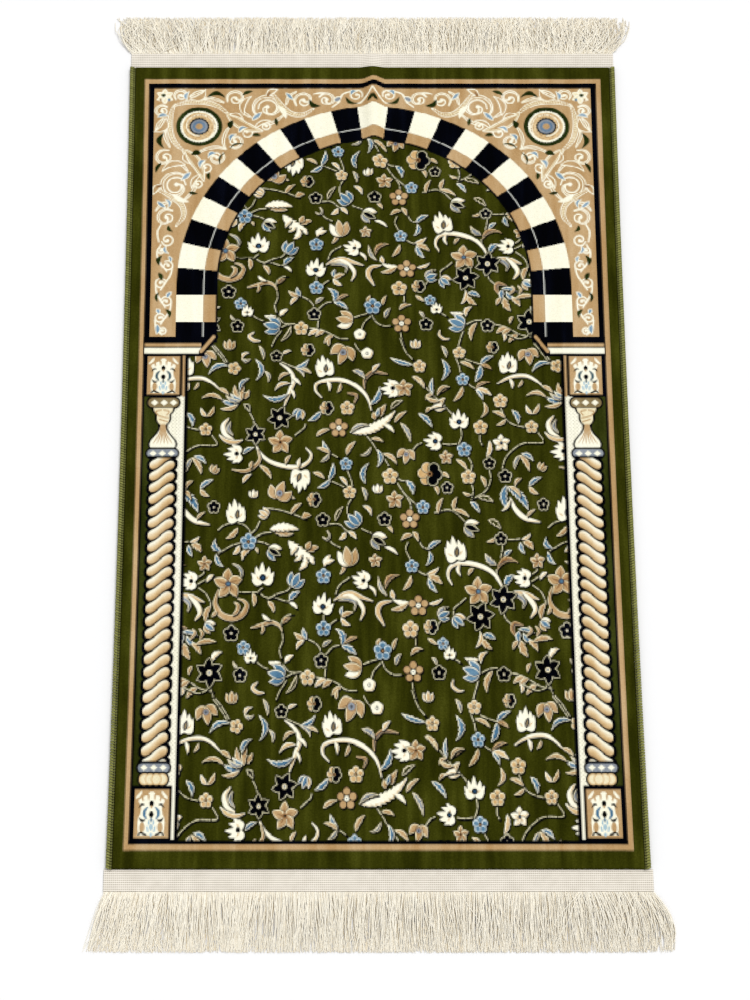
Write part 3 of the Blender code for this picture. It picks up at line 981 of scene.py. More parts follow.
# Leaves, dye by dye: stalk x and y, tip x and y, bend and width.
CORNER_LEAVES = (
    ("cream", (-210, 80, -157, 111, -0.1, 15)),
    ("green", (-237, 53, -212, 54, 0.28, 7), (-205, 106, -201, 93, 0.1, 8),
     (-187, 50, -172, 43, 0.1, 5), (-172, 118, -160, 119, 0.1, 5), (-139, 90, -137, 102, 0, 5),
     (-185, 134, -205, 141, -0.2, 2.5)),
    ("blue", (-267, 58, -264, 44, 0.2, 5), (-172, 92, -159, 79, 0, 6), (-204, 128, -196, 117, 0.3, 5),
     (-192, 113, -179, 106, 0.3, 5), (-124, 46, -114, 58, 0, 5)),
    ("tan", (-262, 56, -240, 40, -0.25, 10), (-185, 84, -174, 52, 0.2, 9), (-152, 50, -136, 40, 0.1, 8),
     (-168, 106, -146, 94, 0.15, 6), (-205, 84, -186, 92, 0.2, 6)),
    ("brown", (-151, 52, -147, 44, 0, 4)),
    ("ivory", (-136, 68, -124, 90, 0.1, 7)),
)

# What fills the strips along the top and down the side.
STRIP_CURLS = (
    (-67, 58, 13, 300, 1), (-23, 50, 10.5, 110, -1), (-291, 289, 10, 250, -1),
    (-300, 305, 6.5, 60, 1), (-290, 329, 9, 330, 1), (-299, 356, 9, 60, -1),
    (-291, 384, 9, 300, 1), (-299, 409, 8.5, 60, -1), (-295, 428, 6.5, 300, 1),
)
STRIP_LINES = (
    ((-85, 48), (-77, 46), (-68, 46)), ((-58, 70), (-49, 62), (-42, 48), (-30, 43)),
    ((-32, 63), (-18, 63), (-7, 52), (0, 41)), ((-300, 264), (-305, 276), (-303, 292)),
    ((-300, 296), (-305, 308), (-302, 322), (-291, 338)), ((-283, 330), (-286, 344), (-299, 366)),
    ((-306, 358), (-304, 372), (-292, 393)), ((-284, 386), (-286, 398), (-298, 418)),
    ((-306, 412), (-304, 424), (-296, 434)),
)
STRIP_LEAVES = (
    ("green", (-91, 58, -75, 68, -0.25, 7), (-38, 53, -21, 63, -0.25, 5), (-7, 63, -1, 52, -0.1, 5),
     (-290, 266, -284, 276, -0.2, 5), (-302, 328, -298, 313, 0.2, 6), (-302, 340, -298, 352, 0.1, 6),
     (-303, 384, -301, 370, 0.2, 4), (-291, 396, -286, 408, 0.2, 5)),
    ("blue", (-31, 49, -22, 43, 0.3, 5), (-293, 298, -289, 310, -0.3, 4),
     (-288, 314, -286, 324, 0.1, 4), (-290, 378, -284, 370, 0.1, 5), (-304, 396, -300, 402, 0.1, 5),
     (-303, 419, -303, 432, 0.1, 6), (-295, 224, -291, 238, 0.3, 4)),
    ("grey", (-55, 60, -45, 53, 0, 8)),
)
# A corner leaf's layers: how far each grows over the outline, and its dye.
CORNER_DYES = {
    "green": ((0.3, LEAF_GREEN),),
    "blue": ((0.9, IVORY), (-0.4, PALE_SLATE)),
    "grey": ((0.8, IVORY), (-0.8, GREY)),
    "brown": ((0.3, BROWN),),
    "ivory": ((0.3, IVORY),),
    "cream": ((0.8, IVORY), (-0.9, TAN), (-1.8, CREAM), (-3.1, TAN)),
    "tan": ((0.8, IVORY), (-0.9, TAN)),
}


def paint_corner(half):
    """The arabesque over the tan corner: one half of it again over the corner's middle line."""
    for twin in (False, True):
        turn = across_corner if twin else lambda x, y: (x, y)
        side = -1 if twin else 1
        for points in CORNER_LINES:
            scroll(half, [turn(x, y) for x, y in points])
        for x, y, radius, heading, hand in CORNER_CURLS:
            curl(half, *turn(x, y), radius, 270 - heading if twin else heading, side * hand)
        for points, width in RIBBONS:
            ribbon(half, [turn(x, y) for x, y in points], width)
        for dye, *rows in CORNER_LEAVES:
            for x0, y0, x1, y1, bend, width in rows:
                shape = blade(*turn(x0, y0), *turn(x1, y1), side * bend, width)
                layered(half, shape, *CORNER_DYES[dye])
    for points in STRIP_LINES:
        plain(half, stroke(points, 2.5, 2.0, 2.0), IVORY)
    for row in STRIP_CURLS:
        curl(half, *row)
    for dye, *rows in STRIP_LEAVES:
        for row in rows:
            layered(half, blade(*row), *CORNER_DYES[dye])
    paint_roundel(half)
    for turn in range(0, 360, 60):
        layered(half, petal(-298, 52, turn, 13, 8), (0.4, IVORY), (-1.6, CREAM))
    for x, y, radius, dye in ((-300, 50, 3, LEAF_GREEN), (-292, 58, 2, BLUE), (-304, 58, 1.5, BROWN)):
        plain(half, disc(x, y, radius), dye)
    place, x, y = half.window(*CORNER_BOX)
    rim = np.abs(arch_radius(x, y) - ARCH_OUTER - 1.2) - 1.2
    half.dye(place, deepest(rim, y - CORNER_FOOT), TAN)


# The middle of the column's panels.
PANEL_MIDDLE = -292.5


def mirrored(half, points, width, colour, root=None, tip=None):
    """A stroke on a panel's left side and its twin on the right, about the panel's middle."""
    for side in (-1, 1):
        turned = [(PANEL_MIDDLE + side * dx, y) for dx, y in points]
        plain(half, stroke(turned, width, root, tip), colour)


# The panel's ivory figure: rows of distance below the panel's top, and half width.
FIGURE = (
    (3, 2.0), (7, 6.0), (10, 13.0), (13, 17.0), (16, 16.0), (20, 13.5), (24, 13.5), (29, 14.5),
    (33, 16.5), (38, 17.5), (46, 17.0), (50, 16.0), (53, 18.0),
)


def paint_panel(half, top, bottom, accent, pale):
    """A tan panel with a symmetric figure; points are off its middle and down from its top."""
    plain(half, bar(-316.5, top - 2, -268, bottom + 3), INK)
    plain(half, bar(-314.5, top, -270, bottom), TAN)
    turned_form(half, PANEL_MIDDLE, [(top + dy, wide) for dy, wide in FIGURE], IVORY)

    def twins(points, width, colour, root=None, tip=None):
        mirrored(half, [(dx, top + dy) for dx, dy in points], width, colour, root, tip)

    twins(((4, 12), (4.5, 7), (9, 5), (12, 9), (11, 13)), 3.0, TAN, 1.5, 2)
    twins(((13, 2.5), (16, 7), (19.5, 10)), 3.4, IVORY, 1, 2)
    twins(((9.5, 18), (13, 18), (16, 21.5)), 2.4, INK, 1, 1)
    twins(((5, 21), (8.5, 25), (9, 30), (6, 34.5)), 4.0, accent, 1.5, 1.5)
    twins(((8, 35.5), (11.5, 36.5), (15, 34)), 2.8, INK, 1, 1.5)
    twins(((11.5, 40), (11.5, 44), (12, 48)), 7.0, TAN, 4, 4)
    twins(((3, 37), (3, 40)), 2.6, pale)
    twins(((5, 44), (4, 48)), 2.4, pale)
    twins(((5, 53), (9, 51.5), (13, 50), (16, 52.5)), 2.8, INK, 1, 2)
    for y, length, width, colour in ((13, 8, 6, INK), (25.5, 8, 6.5, INK), (33, 5, 3, accent),
                                     (40, 8, 5, pale), (50, 5, 4, pale)):
        plain(half, blade(PANEL_MIDDLE, top + y, PANEL_MIDDLE, top + y + length, 0, width), colour)
    plain(half, disc(PANEL_MIDDLE, top + 20.3, 1.6), TAN)


def turned_form(half, middle, profile, colour, growth=0.0):
    """A form turned about an upright line: rows of y and half width."""
    ys, halves = zip(*profile)

    def depth(x, y):
        wide = np.interp(y, ys, halves)
        return deepest(np.abs(x - middle) - wide, ys[0] - y, y - ys[-1])
    box = (middle - max(halves) - 5, ys[0] - 5, middle + max(halves) + 5, ys[-1] + 5)
    plain(half, (depth, box), colour, growth)


# The column's shaft and the lobes that wind around it.
SHAFT_MIDDLE = -291.4
SHAFT_TOP, SHAFT_FOOT = 610.0, 998.0
SHAFT_HALF = 16.9
LOBE_PITCH = 15.86
LOBE_RISE = 0.50
LOBE_AT = 627.4
LOBE_HALF = 6.6
LOBE_HEIGHT = 0.88
LOBE_WAVE = 2.0
# The dark rim beside the lobes: its width on the left and the right, and its notch between two.
RIM_LEFT, RIM_RIGHT = 4.0, 4.8
RIM_NOTCH, RIM_NOTCH_REACH = 3.6, 8.0
# A lobe's shading from above: leaning to the right, to light tan, then from a share on to tan.
SHADE_LEAN, SHADE_PACE = 0.12, 1.5
LOW_FROM, LOW_OVER, LOW_TAN = 0.55, 0.45, 0.92


def paint_shaft(half):
    """The twisted shaft: slanting lobes, each shaded from pale above to tan below."""
    place, x, y = half.window(-318, SHAFT_TOP - 6, -264, SHAFT_FOOT + 6)
    across = x - SHAFT_MIDDLE
    middle = y + LOBE_RISE * across + LOBE_WAVE * np.sin(across / SHAFT_HALF * math.pi)
    phase = (middle - LOBE_AT) / LOBE_PITCH
    off = (phase - np.round(phase)) * LOBE_PITCH
    ends = np.maximum(SHAFT_TOP - 3 - y, y - SHAFT_FOOT - 2)
    rim = SHAFT_HALF + np.where(across > 0, RIM_RIGHT, RIM_LEFT)
    rim = rim - RIM_NOTCH * (np.abs(off) / RIM_NOTCH_REACH) ** 3
    half.dye(place, np.maximum(np.abs(across) - rim, ends), INK)
    roundness = np.clip(1 - (np.abs(across) / SHAFT_HALF) ** 5, 0, 1) ** 0.5
    lobe = (np.abs(off) - LOBE_HALF * roundness) * LOBE_HEIGHT
    share = (off / LOBE_HALF + 1) / 2 + SHADE_LEAN * across / SHAFT_HALF
    share = np.clip(share, 0, 1)[..., None]
    shade = IVORY * (1 - eased(share * SHADE_PACE)) + LIGHT_TAN * eased(share * SHADE_PACE)
    low = eased((share - LOW_FROM) / LOW_OVER)
    shade = shade * (1 - low) + TAN * LOW_TAN * low
    within = deepest(lobe, np.abs(across) - SHAFT_HALF, SHAFT_TOP - y, y - SHAFT_FOOT)
    half.dye(place, within, shade)


def moulding(half, y, reach, width, dye, diamonds, diamond_width, diamond_height):
    """A band with round ends across the shaft, and a row of diamonds on it."""
    band = stroke(((SHAFT_MIDDLE - reach, y), (SHAFT_MIDDLE + reach, y)), width)
    layered(half, band, (2.6, INK), (0, dye))
    for middle in diamonds:
        def depth(px, py, middle=middle):
            off = np.abs(px - middle) / diamond_width + np.abs(py - y) / diamond_height
            return (off - 1) * min(diamond_width, diamond_height)
        plain(half, (depth, box_around([middle], [y], diamond_width)), IVORY)


# The column's neck and the flare below it: y and half width.
NECK = ((540, 13.5), (545, 12), (549, 8.5), (556, 8.5), (560, 7), (563, 4))
FLARE = (
    (563, 3), (570, 4.2), (576, 7.5), (581, 12), (585, 15.5), (590, 17.5), (594, 17), (597, 14.5),
)
# Where the diamonds stand on the mouldings.
HUSK_DIAMONDS, GREY_DIAMONDS = (-303.5, -290.5, -277.5), (-304, -291.4, -279)
# The boxes behind the column: left, top, right, foot and dye.
COLUMN_GROUND = (
    (-320.5, 466, -258, 1090, INK), (-317.5, 524, -262, 1027, MOSS), (-277, 523, -262, 1027, IVORY),
    (-290, 541, -261.5, 600, IVORY),
)


def paint_speckles(half):
    """Small dots in staggered rows on the pale ground beside the column."""
    place, x, y = half.window(-290, 524, -261, 1028)
    dots = np.hypot((x + 267.5) % 5 - 2.5, (y + 2.5) % 5 - 2.5) - 0.8
    more = np.hypot((x + 265) % 5 - 2.5, y % 5 - 2.5) - 0.8
    inside = deepest(x + 262, np.where(y < 600, -290, -276) - x)
    half.dye(place, deepest(np.minimum(dots, more), inside), STONE)


def paint_capital(half):
    """The column's head: a moulding, its wound neck and its fluted flare."""
    for form in (NECK, FLARE):
        turned_form(half, SHAFT_MIDDLE, form, INK, 3.0)
    moulding(half, 532.5, 14.5, 13, HUSK, HUSK_DIAMONDS, 5, 4.2)
    turned_form(half, SHAFT_MIDDLE, NECK, CREAM)
    mirrored(half, ((2, 543), (9, 545), (6, 550)), 2.0, TAN)
    for x0, x1, y in ((-297, -285, 553), (-296, -286, 558)):
        plain(half, stroke(((x0, y - 2), (-290, y), (x1, y + 1)), 2.0), TAN)
    turned_form(half, SHAFT_MIDDLE, FLARE, IVORY)
    for lean in (-13, -7.5, -2.5, 2.5, 7.5, 13):
        flute = [(SHAFT_MIDDLE + lean * part, y) for part, y in ((0.15, 564), (0.4, 577), (1, 590))]
        plain(half, stroke(flute, 1.8, 3.0, 0.6), TAN)


def paint_bulbs(half):
    """The row of round bulbs below the shaft."""
    bulbs = [disc(SHAFT_MIDDLE + across, 1017.5, 7.0) for across in (-11.5, 11.5, -4, 4)]
    for bulb in bulbs:
        plain(half, bulb, INK, 2.4)
    for bulb in bulbs:
        layered(half, bulb, (0, LIGHT_TAN), (-1.8, CREAM))


def paint_column(half):
    """The column with its capital, twisted shaft, bulbs and plinth."""
    for *box, dye in COLUMN_GROUND:
        plain(half, bar(*box), dye)
    paint_speckles(half)
    paint_panel(half, 466, 521, TEAL, PALE_BLUE)
    plain(half, bar(-266, 465, -263, 524), TAN)
    paint_capital(half)
    moulding(half, 603.5, 15, 11.5, GREY, GREY_DIAMONDS, 5, 4)
    paint_shaft(half)
    moulding(half, 1004, 15.5, 10, GREY, GREY_DIAMONDS, 4.8, 3.6)
    paint_bulbs(half)
    plain(half, bar(-318, 1025, -262, 1090), INK)
    paint_panel(half, 1029, 1085, BLUE, PALE_BLUE)
    plain(half, bar(-266.5, 1020, -262, 1087), IVORY)
    plain(half, bar(-263, 466, -FIELD_EDGE, 1090), INK)


def rug_chart():
    """The whole rug's colours: the flowered field under the mirrored arch and frame."""
    field = Chart(-CHART_HALF_WIDTH, CHART_HALF_WIDTH)
    paint_field(field)
    half = Chart(-CHART_HALF_WIDTH, 0)
    for paint in (paint_arch, paint_corner, paint_frame, paint_impost, paint_column):
        paint(half)
    halves = (half.colour, half.cover)
    colour, cover = (np.concatenate((part, part[:, ::-1]), axis=1) for part in halves)
    return colour + field.colour * (1 - cover[..., None])


# The fold pulls the pattern towards the arched end: middle and half width of the pull, its
# length at that end, and the distances between which it fades, all in chart millimetres.
PULL_MIDDLE, PULL_HALF_WIDTH, PULL_LENGTH = 3.0, 17.0, 3.6
PULL_FULL_UNTIL, PULL_GONE_AT = 70.0, 230.0


def chart_place(x, y):
    """The chart's x and y at points of the squared-up pile."""
    q = np.clip((PILE_HALF - y) / PILE_LENGTH, 0, 1)
    k = GROWTH_TOWARDS_FOOT
    down = (np.sqrt((1 - k) ** 2 + 4 * k * q) - (1 - k)) / (2 * k) * CHART_LENGTH
    across = x * 1000
    near = np.clip(np.abs(across - PULL_MIDDLE) / PULL_HALF_WIDTH, 0, 1)
    fade = 1 - eased((down - PULL_FULL_UNTIL) / (PULL_GONE_AT - PULL_FULL_UNTIL))
    return across, down + PULL_LENGTH * fade * (0.5 + 0.5 * np.cos(math.pi * near))


def knots_of(chart, x, y):
    """The colour of each knot: the chart's mean over two points each way."""
    across, down = chart_place(x, y)
    column = np.clip((across + CHART_HALF_WIDTH) / CHART_STEP, 0.5, chart.shape[1] - 1)
    row = np.clip(down / CHART_STEP, 0.5, chart.shape[0] - 1)
    i, j = np.round(column).astype(int), np.round(row).astype(int)
    i, j = np.clip(i, 1, chart.shape[1] - 1), np.clip(j, 1, chart.shape[0] - 1)
    return (chart[j, i] + chart[j - 1, i] + chart[j, i - 1] + chart[j - 1, i - 1]) / 4


# ---- Meshes

# A pile strip's flat map: the room around each length, and the number of lengths.
MAP_MARGIN = 0.004
MAP_FOLDS = 2


def grid_faces(rows, columns, start=0):
    """The four-sided faces of a grid of points stored row after row."""
    first = start + (np.arange(rows - 1)[:, None] * columns + np.arange(columns - 1)).ravel()
    return np.column_stack((first, first + 1, first + columns + 1, first + columns))


def put_in_scene(name, data):
    """A new object in the scene."""
    item = bpy.data.objects.new(name, data)
    bpy.context.scene.collection.objects.link(item)
    return item


def make_piece(name, points, faces, material):
    """A new object of four-sided faces, laid down with the rug."""
    mesh = bpy.data.meshes.new(name)
    mesh.vertices.add(len(points))
    mesh.vertices.foreach_set("co", laid(points).astype(np.float32).ravel())
    mesh.loops.add(faces.size)
    mesh.loops.foreach_set("vertex_index", faces.astype(np.int32).ravel())
    mesh.polygons.add(len(faces))
    mesh.polygons.foreach_set("loop_start", np.arange(0, faces.size, 4, dtype=np.int32))
    mesh.update(calc_edges=True)
    mesh.shade_smooth()
    mesh.materials.append(material)
    return put_in_scene(name, mesh)


def give_colours(piece, name, colours, domain="POINT"):
    """Stores one colour a point, or a corner, for a material to read."""
    layer = piece.data.color_attributes.new(name, "FLOAT_COLOR", domain)
    rgba = np.column_stack((colours, np.ones(len(colours)))).astype(np.float32)
    layer.data.foreach_set("color", rgba.ravel())


def give_shading(piece, tones):
    """Stores a point's painted shade, with any random tone, as a grey."""
    give_colours(piece, "tone", np.repeat(tones.reshape(-1, 1), 3, axis=1))


def give_folded_map(piece, points, faces, low_x, width):
    """A flat map of a long strip, cut into lengths that lie side by side in the square."""
    length = PILE_LENGTH + MAP_MARGIN
    part = length / MAP_FOLDS
    lane_width = width + MAP_MARGIN
    side = max(part, MAP_FOLDS * lane_width)
    corner = points[faces]
    middle = corner.mean(axis=1)
    lane = np.clip(((middle[:, 1] + length / 2) / part).astype(int), 0, MAP_FOLDS - 1)
    u = (corner[..., 0] - low_x + MAP_MARGIN / 2 + lane[:, None] * lane_width) / side
    v = (corner[..., 1] + length / 2 - lane[:, None] * part) / side
    layer = piece.data.uv_layers.new(name="OFBake")
    layer.uv.foreach_set("vector", np.stack((u, v), axis=-1).astype(np.float32).ravel())


def unit(vectors):
    """Vectors brought to a length of one."""
    return vectors / np.linalg.norm(vectors, axis=-1, keepdims=True)


def corner_turns(sides):
    """The turns of a ring's corners."""
    return 2 * math.pi * (np.arange(sides) + 0.5) / sides


def ring_faces(threads, stations, sides, closed):
    """The faces of threads, each of rings of points; closed ones come back to their first ring."""
    station, side = np.meshgrid(
        np.arange(stations if closed else stations - 1), np.arange(sides), indexing="ij"
    )
    after, beside = (station + 1) % stations, (side + 1) % sides
    places = ((station, side), (station, beside), (after, beside), (after, side))
    one = np.stack([ring * sides + corner for ring, corner in places], axis=-1).reshape(1, -1, 4)
    return (one + (np.arange(threads) * stations * sides)[:, None, None]).reshape(-1, 4)


def tubes(paths, halves, sides):
    """Threads along paths: an array of threads, stations and x, y, z, as points and faces."""
    onward = unit(np.gradient(paths, axis=1))
    beside = unit(np.cross(onward, (0.0, 0.0, 1.0)))
    above = np.cross(beside, onward)
    turns = corner_turns(sides)
    ring = beside[:, :, None] * np.cos(turns)[:, None] + above[:, :, None] * np.sin(turns)[:, None]
    points = paths[:, :, None] + ring * halves[:, :, None, None]
    return points.reshape(-1, 3), ring_faces(*paths.shape[:2], sides, False)


def put_on(piece, slot, *nodes):
    """Rides on the rug's one body and stands for its solid, whose parts it hides; the slot is not used.
    """
    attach(piece, "root")
    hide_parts(*nodes)


# ---- Materials

COLOUR, NUMBER = "NodeSocketColor", "NodeSocketFloat"


def new_group(name, inputs, outputs):
    """A shader node group with named sockets: its nodes, what it is given and what it gives."""
    group = bpy.data.node_groups.new(name, "ShaderNodeTree")
    for label, kind, value in inputs:
        socket = group.interface.new_socket(label, in_out="INPUT", socket_type=kind)
        socket.default_value = value
    for label, kind in outputs:
        group.interface.new_socket(label, in_out="OUTPUT", socket_type=kind)
    given, out = (group.nodes.new(kind) for kind in ("NodeGroupInput", "NodeGroupOutput"))
    return Nodes(group), given.outputs, out.inputs


class Nodes:
    """Adds nodes to a tree and joins them."""

    def __init__(self, tree):
        self.tree = tree

    def add(self, kind, settings=None, **inputs):
        """A node with its settings, and its inputs set or linked by name."""
        node = self.tree.nodes.new(kind)
        for key, value in (settings or {}).items():
            setattr(node, key, value)
        for label, value in inputs.items():
            self.feed(node.inputs[label.replace("_", " ")], value)
        return node

    def feed(self, socket, value):
        """Links an output to a socket, or sets the socket's value."""
        if isinstance(value, bpy.types.NodeSocket):
            self.tree.links.new(value, socket)
        else:
            socket.default_value = value

    def worked(self, kind, settings, values, result=0):
        """The result of a node whose inputs are known by their order."""
        node = self.add(kind, settings)
        for index, value in values.items():
            self.feed(node.inputs[index], value)
        return node.outputs[result]

    def maths(self, operation, a, b):
        """Two numbers worked into one."""
        return self.worked("ShaderNodeMath", {"operation": operation}, {0: a, 1: b})

    def stretched(self, vector, factors):
        """A vector times three factors."""
        return self.worked("ShaderNodeVectorMath", {"operation": "MULTIPLY"}, {0: vector, 1: factors})

    def ranged(self, value, *limits):
        """A value moved from one range to another."""
        return self.worked("ShaderNodeMapRange", {}, dict(enumerate((value, *limits))))

    def mix(self, blend, factor, a, b):
        """Two colours mixed."""
        settings = {"data_type": "RGBA", "blend_type": blend}
        return self.worked("ShaderNodeMix", settings, {0: factor, 6: a, 7: b}, 2)

    def noise(self, vector, scale, detail=2.0):
        """A noise texture's value."""
        node = self.add("ShaderNodeTexNoise", Vector=vector, Scale=scale, Detail=detail)
        return node.outputs["Fac"]

    def place(self):
        """Where on its own piece a point lies, in metres."""
        return self.add("ShaderNodeTexCoord").outputs["Object"]

    def stored(self, name, output="Color"):
        """What is stored on a piece under a name."""
        return self.add("ShaderNodeAttribute", {"attribute_name": name}).outputs[output]


def brushed_pile_group():
    """Painted light and shade in streaks where the pile leans this way or that, fine flecks of random
    tone, and the knots' height.
    """
    nodes, given, out = new_group(
        "Brushed pile",
        (
            ("Colour", COLOUR, (0.5, 0.5, 0.5, 1)),
            ("Streaks", NUMBER, 0.2),
            ("Flecks", NUMBER, 0.1),
            ("Knots per Metre", NUMBER, 570.0),
        ),
        (("Colour", COLOUR), ("Height", NUMBER), ("Roughness", NUMBER)),
    )
    place = nodes.place()
    lean = nodes.noise(nodes.stretched(place, (85.0, 8.0, 1.0)), 1.0, 3.0)
    broad = nodes.noise(nodes.stretched(place, (30.0, 11.0, 1.0)), 1.0)
    fine = nodes.noise(place, 480.0)
    # Painted light and shade: the streaks lighten and darken the pile's colour as if it caught the
    # light where it leans.
    streak_shading = nodes.ranged(nodes.maths("ADD", lean, broad), 0.74, 1.26, -1.2, 0.8)
    fleck = nodes.maths("MULTIPLY", nodes.ranged(fine, 0.25, 0.75, -1.0, 1.0), given["Flecks"])
    change = nodes.maths("ADD", nodes.maths("MULTIPLY", streak_shading, given["Streaks"]), fleck)
    power = nodes.maths("SUBTRACT", 1.0, change)
    dyed = nodes.add("ShaderNodeGamma", Color=given["Colour"], Gamma=power)
    knots = nodes.add("ShaderNodeTexVoronoi", Vector=place, Scale=given["Knots per Metre"])
    sunk = nodes.maths("MULTIPLY", knots.outputs["Distance"], -0.7)
    nodes.feed(out["Colour"], dyed.outputs[0])
    nodes.feed(out["Height"], nodes.maths("ADD", sunk, nodes.maths("MULTIPLY", fine, 0.6)))
    nodes.feed(out["Roughness"], nodes.ranged(lean, 0.3, 0.7, 0.86, 0.98))


def cotton_group():
    """Uneven undyed cotton: mixed towards its shaded colour by the painted shade in its mask and by
    patches of a warmer and a cooler tint, with fine fibres.
    """
    nodes, given, out = new_group(
        "Cotton",
        (
            ("Colour", COLOUR, (0.8, 0.75, 0.65, 1)),
            ("Shaded", COLOUR, (0.5, 0.45, 0.35, 1)),
            ("Mask", NUMBER, 0.0),
            ("Patchiness", NUMBER, 0.12),
        ),
        (("Colour", COLOUR), ("Height", NUMBER)),
    )
    place = nodes.place()
    patch = nodes.ranged(nodes.noise(place, 60.0, 3.0), 0.35, 0.75, 0.0, 1.0)
    share = nodes.maths("ADD", given["Mask"], nodes.maths("MULTIPLY", patch, given["Patchiness"]))
    share.node.use_clamp = True
    nodes.feed(out["Colour"], nodes.mix("MIX", share, given["Colour"], given["Shaded"]))
    nodes.feed(out["Height"], nodes.noise(place, 1500.0))


def new_material(name, roughness, specular=0.25, sheen=0.0, sheen_tint=(1, 1, 1, 1)):
    """A material with a plain Principled shader, its nodes and the shader."""
    material = bpy.data.materials.new(name)
    material.use_nodes = True
    shader = material.node_tree.nodes["Principled BSDF"]
    settings = {
        "Roughness": roughness,
        "Specular IOR Level": specular,
        "Sheen Weight": sheen,
        "Sheen Roughness": 0.45,
        "Sheen Tint": sheen_tint,
    }
    for label, value in settings.items():
        shader.inputs[label].default_value = value
    return material, Nodes(material.node_tree), shader


def add_bump(nodes, shader, height, distance, strength):
    """Raises a material by a height."""
    bump = nodes.add("ShaderNodeBump", Height=height, Distance=distance, Strength=strength)
    nodes.feed(shader.inputs["Normal"], bump.outputs[0])


def add_effect(nodes, shader, effect, distance, strength, **inputs):
    """Gives a material the colour and the height of a shared effect, and returns its outputs."""
    settings = {"node_tree": bpy.data.node_groups[effect]}
    outputs = nodes.add("ShaderNodeGroup", settings, **inputs).outputs
    nodes.feed(shader.inputs["Base Color"], outputs["Colour"])
    add_bump(nodes, shader, outputs["Height"], distance, strength)
    return outputs


def pile_material(rug):
    """Dyed, brushed pile."""
    material, nodes, shader = new_material("dyed_pile", 0.92, 0.02)
    outputs = add_effect(nodes, shader, "Brushed pile", 0.0006, 0.55,
                         Colour=nodes.stored("dye"), Streaks=rug.pile_lean_shading, Flecks=0.07)
    nodes.feed(shader.inputs["Roughness"], outputs["Roughness"])
    return material


def whipping_material(rug):
    """Green yarn whipped over the rug's sides, darkened by the painted shade stored on each loop."""
    material, nodes, shader = new_material("whipping_yarn", 0.95, 0.02)
    green = nodes.mix("MULTIPLY", 1.0, (*rug.whipping_colour, 1), nodes.stored("tone"))
    add_effect(nodes, shader, "Brushed pile", 0.0003, 0.5, Colour=green, Streaks=0.03, Flecks=0.08)
    return material


def cotton_material(name, colour, shaded, sheen):
    """Cotton whose painted shade comes from the shade stored on the piece."""
    material, nodes, shader = new_material(name, 0.9, 0.1, sheen, (1, 0.97, 0.9, 1))
    add_effect(nodes, shader, "Cotton", 0.0002, 0.4,
               Colour=(*colour, 1), Shaded=(*shaded, 1), Mask=nodes.stored("tone", "Fac"))
    return material


def backing_material():
    """The plain woven underside: threads of two tones, and dark between them."""
    material, nodes, shader = new_material("woven_back", 0.95)
    place = nodes.place()
    weave = nodes.add("ShaderNodeTexBrick", Vector=place, Scale=260.0, Mortar_Size=0.02).outputs["Fac"]
    patch = nodes.noise(place, 300.0)
    share = nodes.ranged(patch, 0.4, 0.6, 0.0, 1.0)
    thread = nodes.mix("MIX", share, (0.20, 0.19, 0.10, 1), (0.27, 0.25, 0.15, 1))
    colour = nodes.mix("MIX", weave, thread, (0.06, 0.06, 0.03, 1))
    nodes.feed(shader.inputs["Base Color"], colour)
    add_bump(nodes, shader, nodes.maths("SUBTRACT", patch, weave), 0.0004, 0.5)
    return material


def floor_material(stage):
    """A pale, even floor."""
    material, nodes, shader = new_material("pale_floor", 0.85)
    patch = nodes.noise(nodes.place(), 2.0)
    low, high = ((*(c * share for c in stage.floor_colour), 1) for share in (0.985, 1.0))
    nodes.feed(shader.inputs["Base Color"], nodes.mix("MIX", patch, low, high))
    return material


# ---- Pieces

SEED = 7
YARN_TONE, YARN_TONE_SPREAD = 0.90, 0.02
PILE_REACH = PILE_HALF_WIDTH + 0.0010
PILE_TOP = PILE_THICKNESS - 0.0003
# The pile's cut edge turns down: how far in, and how low, from the foot up.
PILE_SKIRT = ((0.0, 0.0063), (0.0, 0.0030), (0.0004, 0.0010))
# How much painted shade darkens the turned-down edge: the lower it lies, the darker.
SKIRT_PAINTED_SHADE = 0.55
PILE_UNEVENNESS = 0.00025
KNOT_UNEVENNESS = 0.00012
BACK_THICKNESS = 0.0012


def with_skirt(values, low, high):
    """Places across a strip with extra ones that turn down its cut edges, and how low each is."""
    places, drops = list(values), [0.0] * len(values)
    if low:
        places = [values[0] + inward for inward, drop in PILE_SKIRT] + places[1:]
        drops = [drop for inward, drop in PILE_SKIRT] + drops[1:]
    if high:
        places = places[:-1] + [values[-1] - inward for inward, drop in reversed(PILE_SKIRT)]
        drops = drops[:-1] + [drop for inward, drop in reversed(PILE_SKIRT)]
    return np.array(places), np.array(drops)


def make_pile_strip(name, xs, x_drops, ys, y_drops, chart, material):
    """One length of pile, every knot a face, dyed from the chart, with painted shade on its turned-down
    edge.
    """
    rng = np.random.default_rng(SEED)
    x, y = (grid.ravel() for grid in np.meshgrid(xs, ys))
    drop = np.maximum(*(grid.ravel() for grid in np.meshgrid(x_drops, y_drops)))
    uneven = PILE_UNEVENNESS * np.sin(95 * x + 3 * np.sin(21 * y)) * np.sin(61 * y)
    uneven = uneven + rng.uniform(-KNOT_UNEVENNESS, KNOT_UNEVENNESS, len(x))
    points = np.column_stack((x, y, PILE_TOP - drop + uneven * (drop == 0)))
    faces = grid_faces(len(ys), len(xs))
    piece = make_piece(name, points, faces, material)
    # Painted shade: knots on the turned-down edge are darker the lower they lie. Each knot also has a
    # random yarn tone.
    low = 1 - SKIRT_PAINTED_SHADE * drop[faces].max(axis=1) / PILE_THICKNESS
    yarn = rng.normal(YARN_TONE, YARN_TONE_SPREAD, len(faces)) * low
    dyes = knots_of(chart, x[faces].mean(axis=1), y[faces].mean(axis=1)) * yarn[:, None]
    give_colours(piece, "dye", np.repeat(dyes, 4, axis=0), "CORNER")
    give_folded_map(piece, points, faces, xs[0], xs[-1] - xs[0])
    return piece


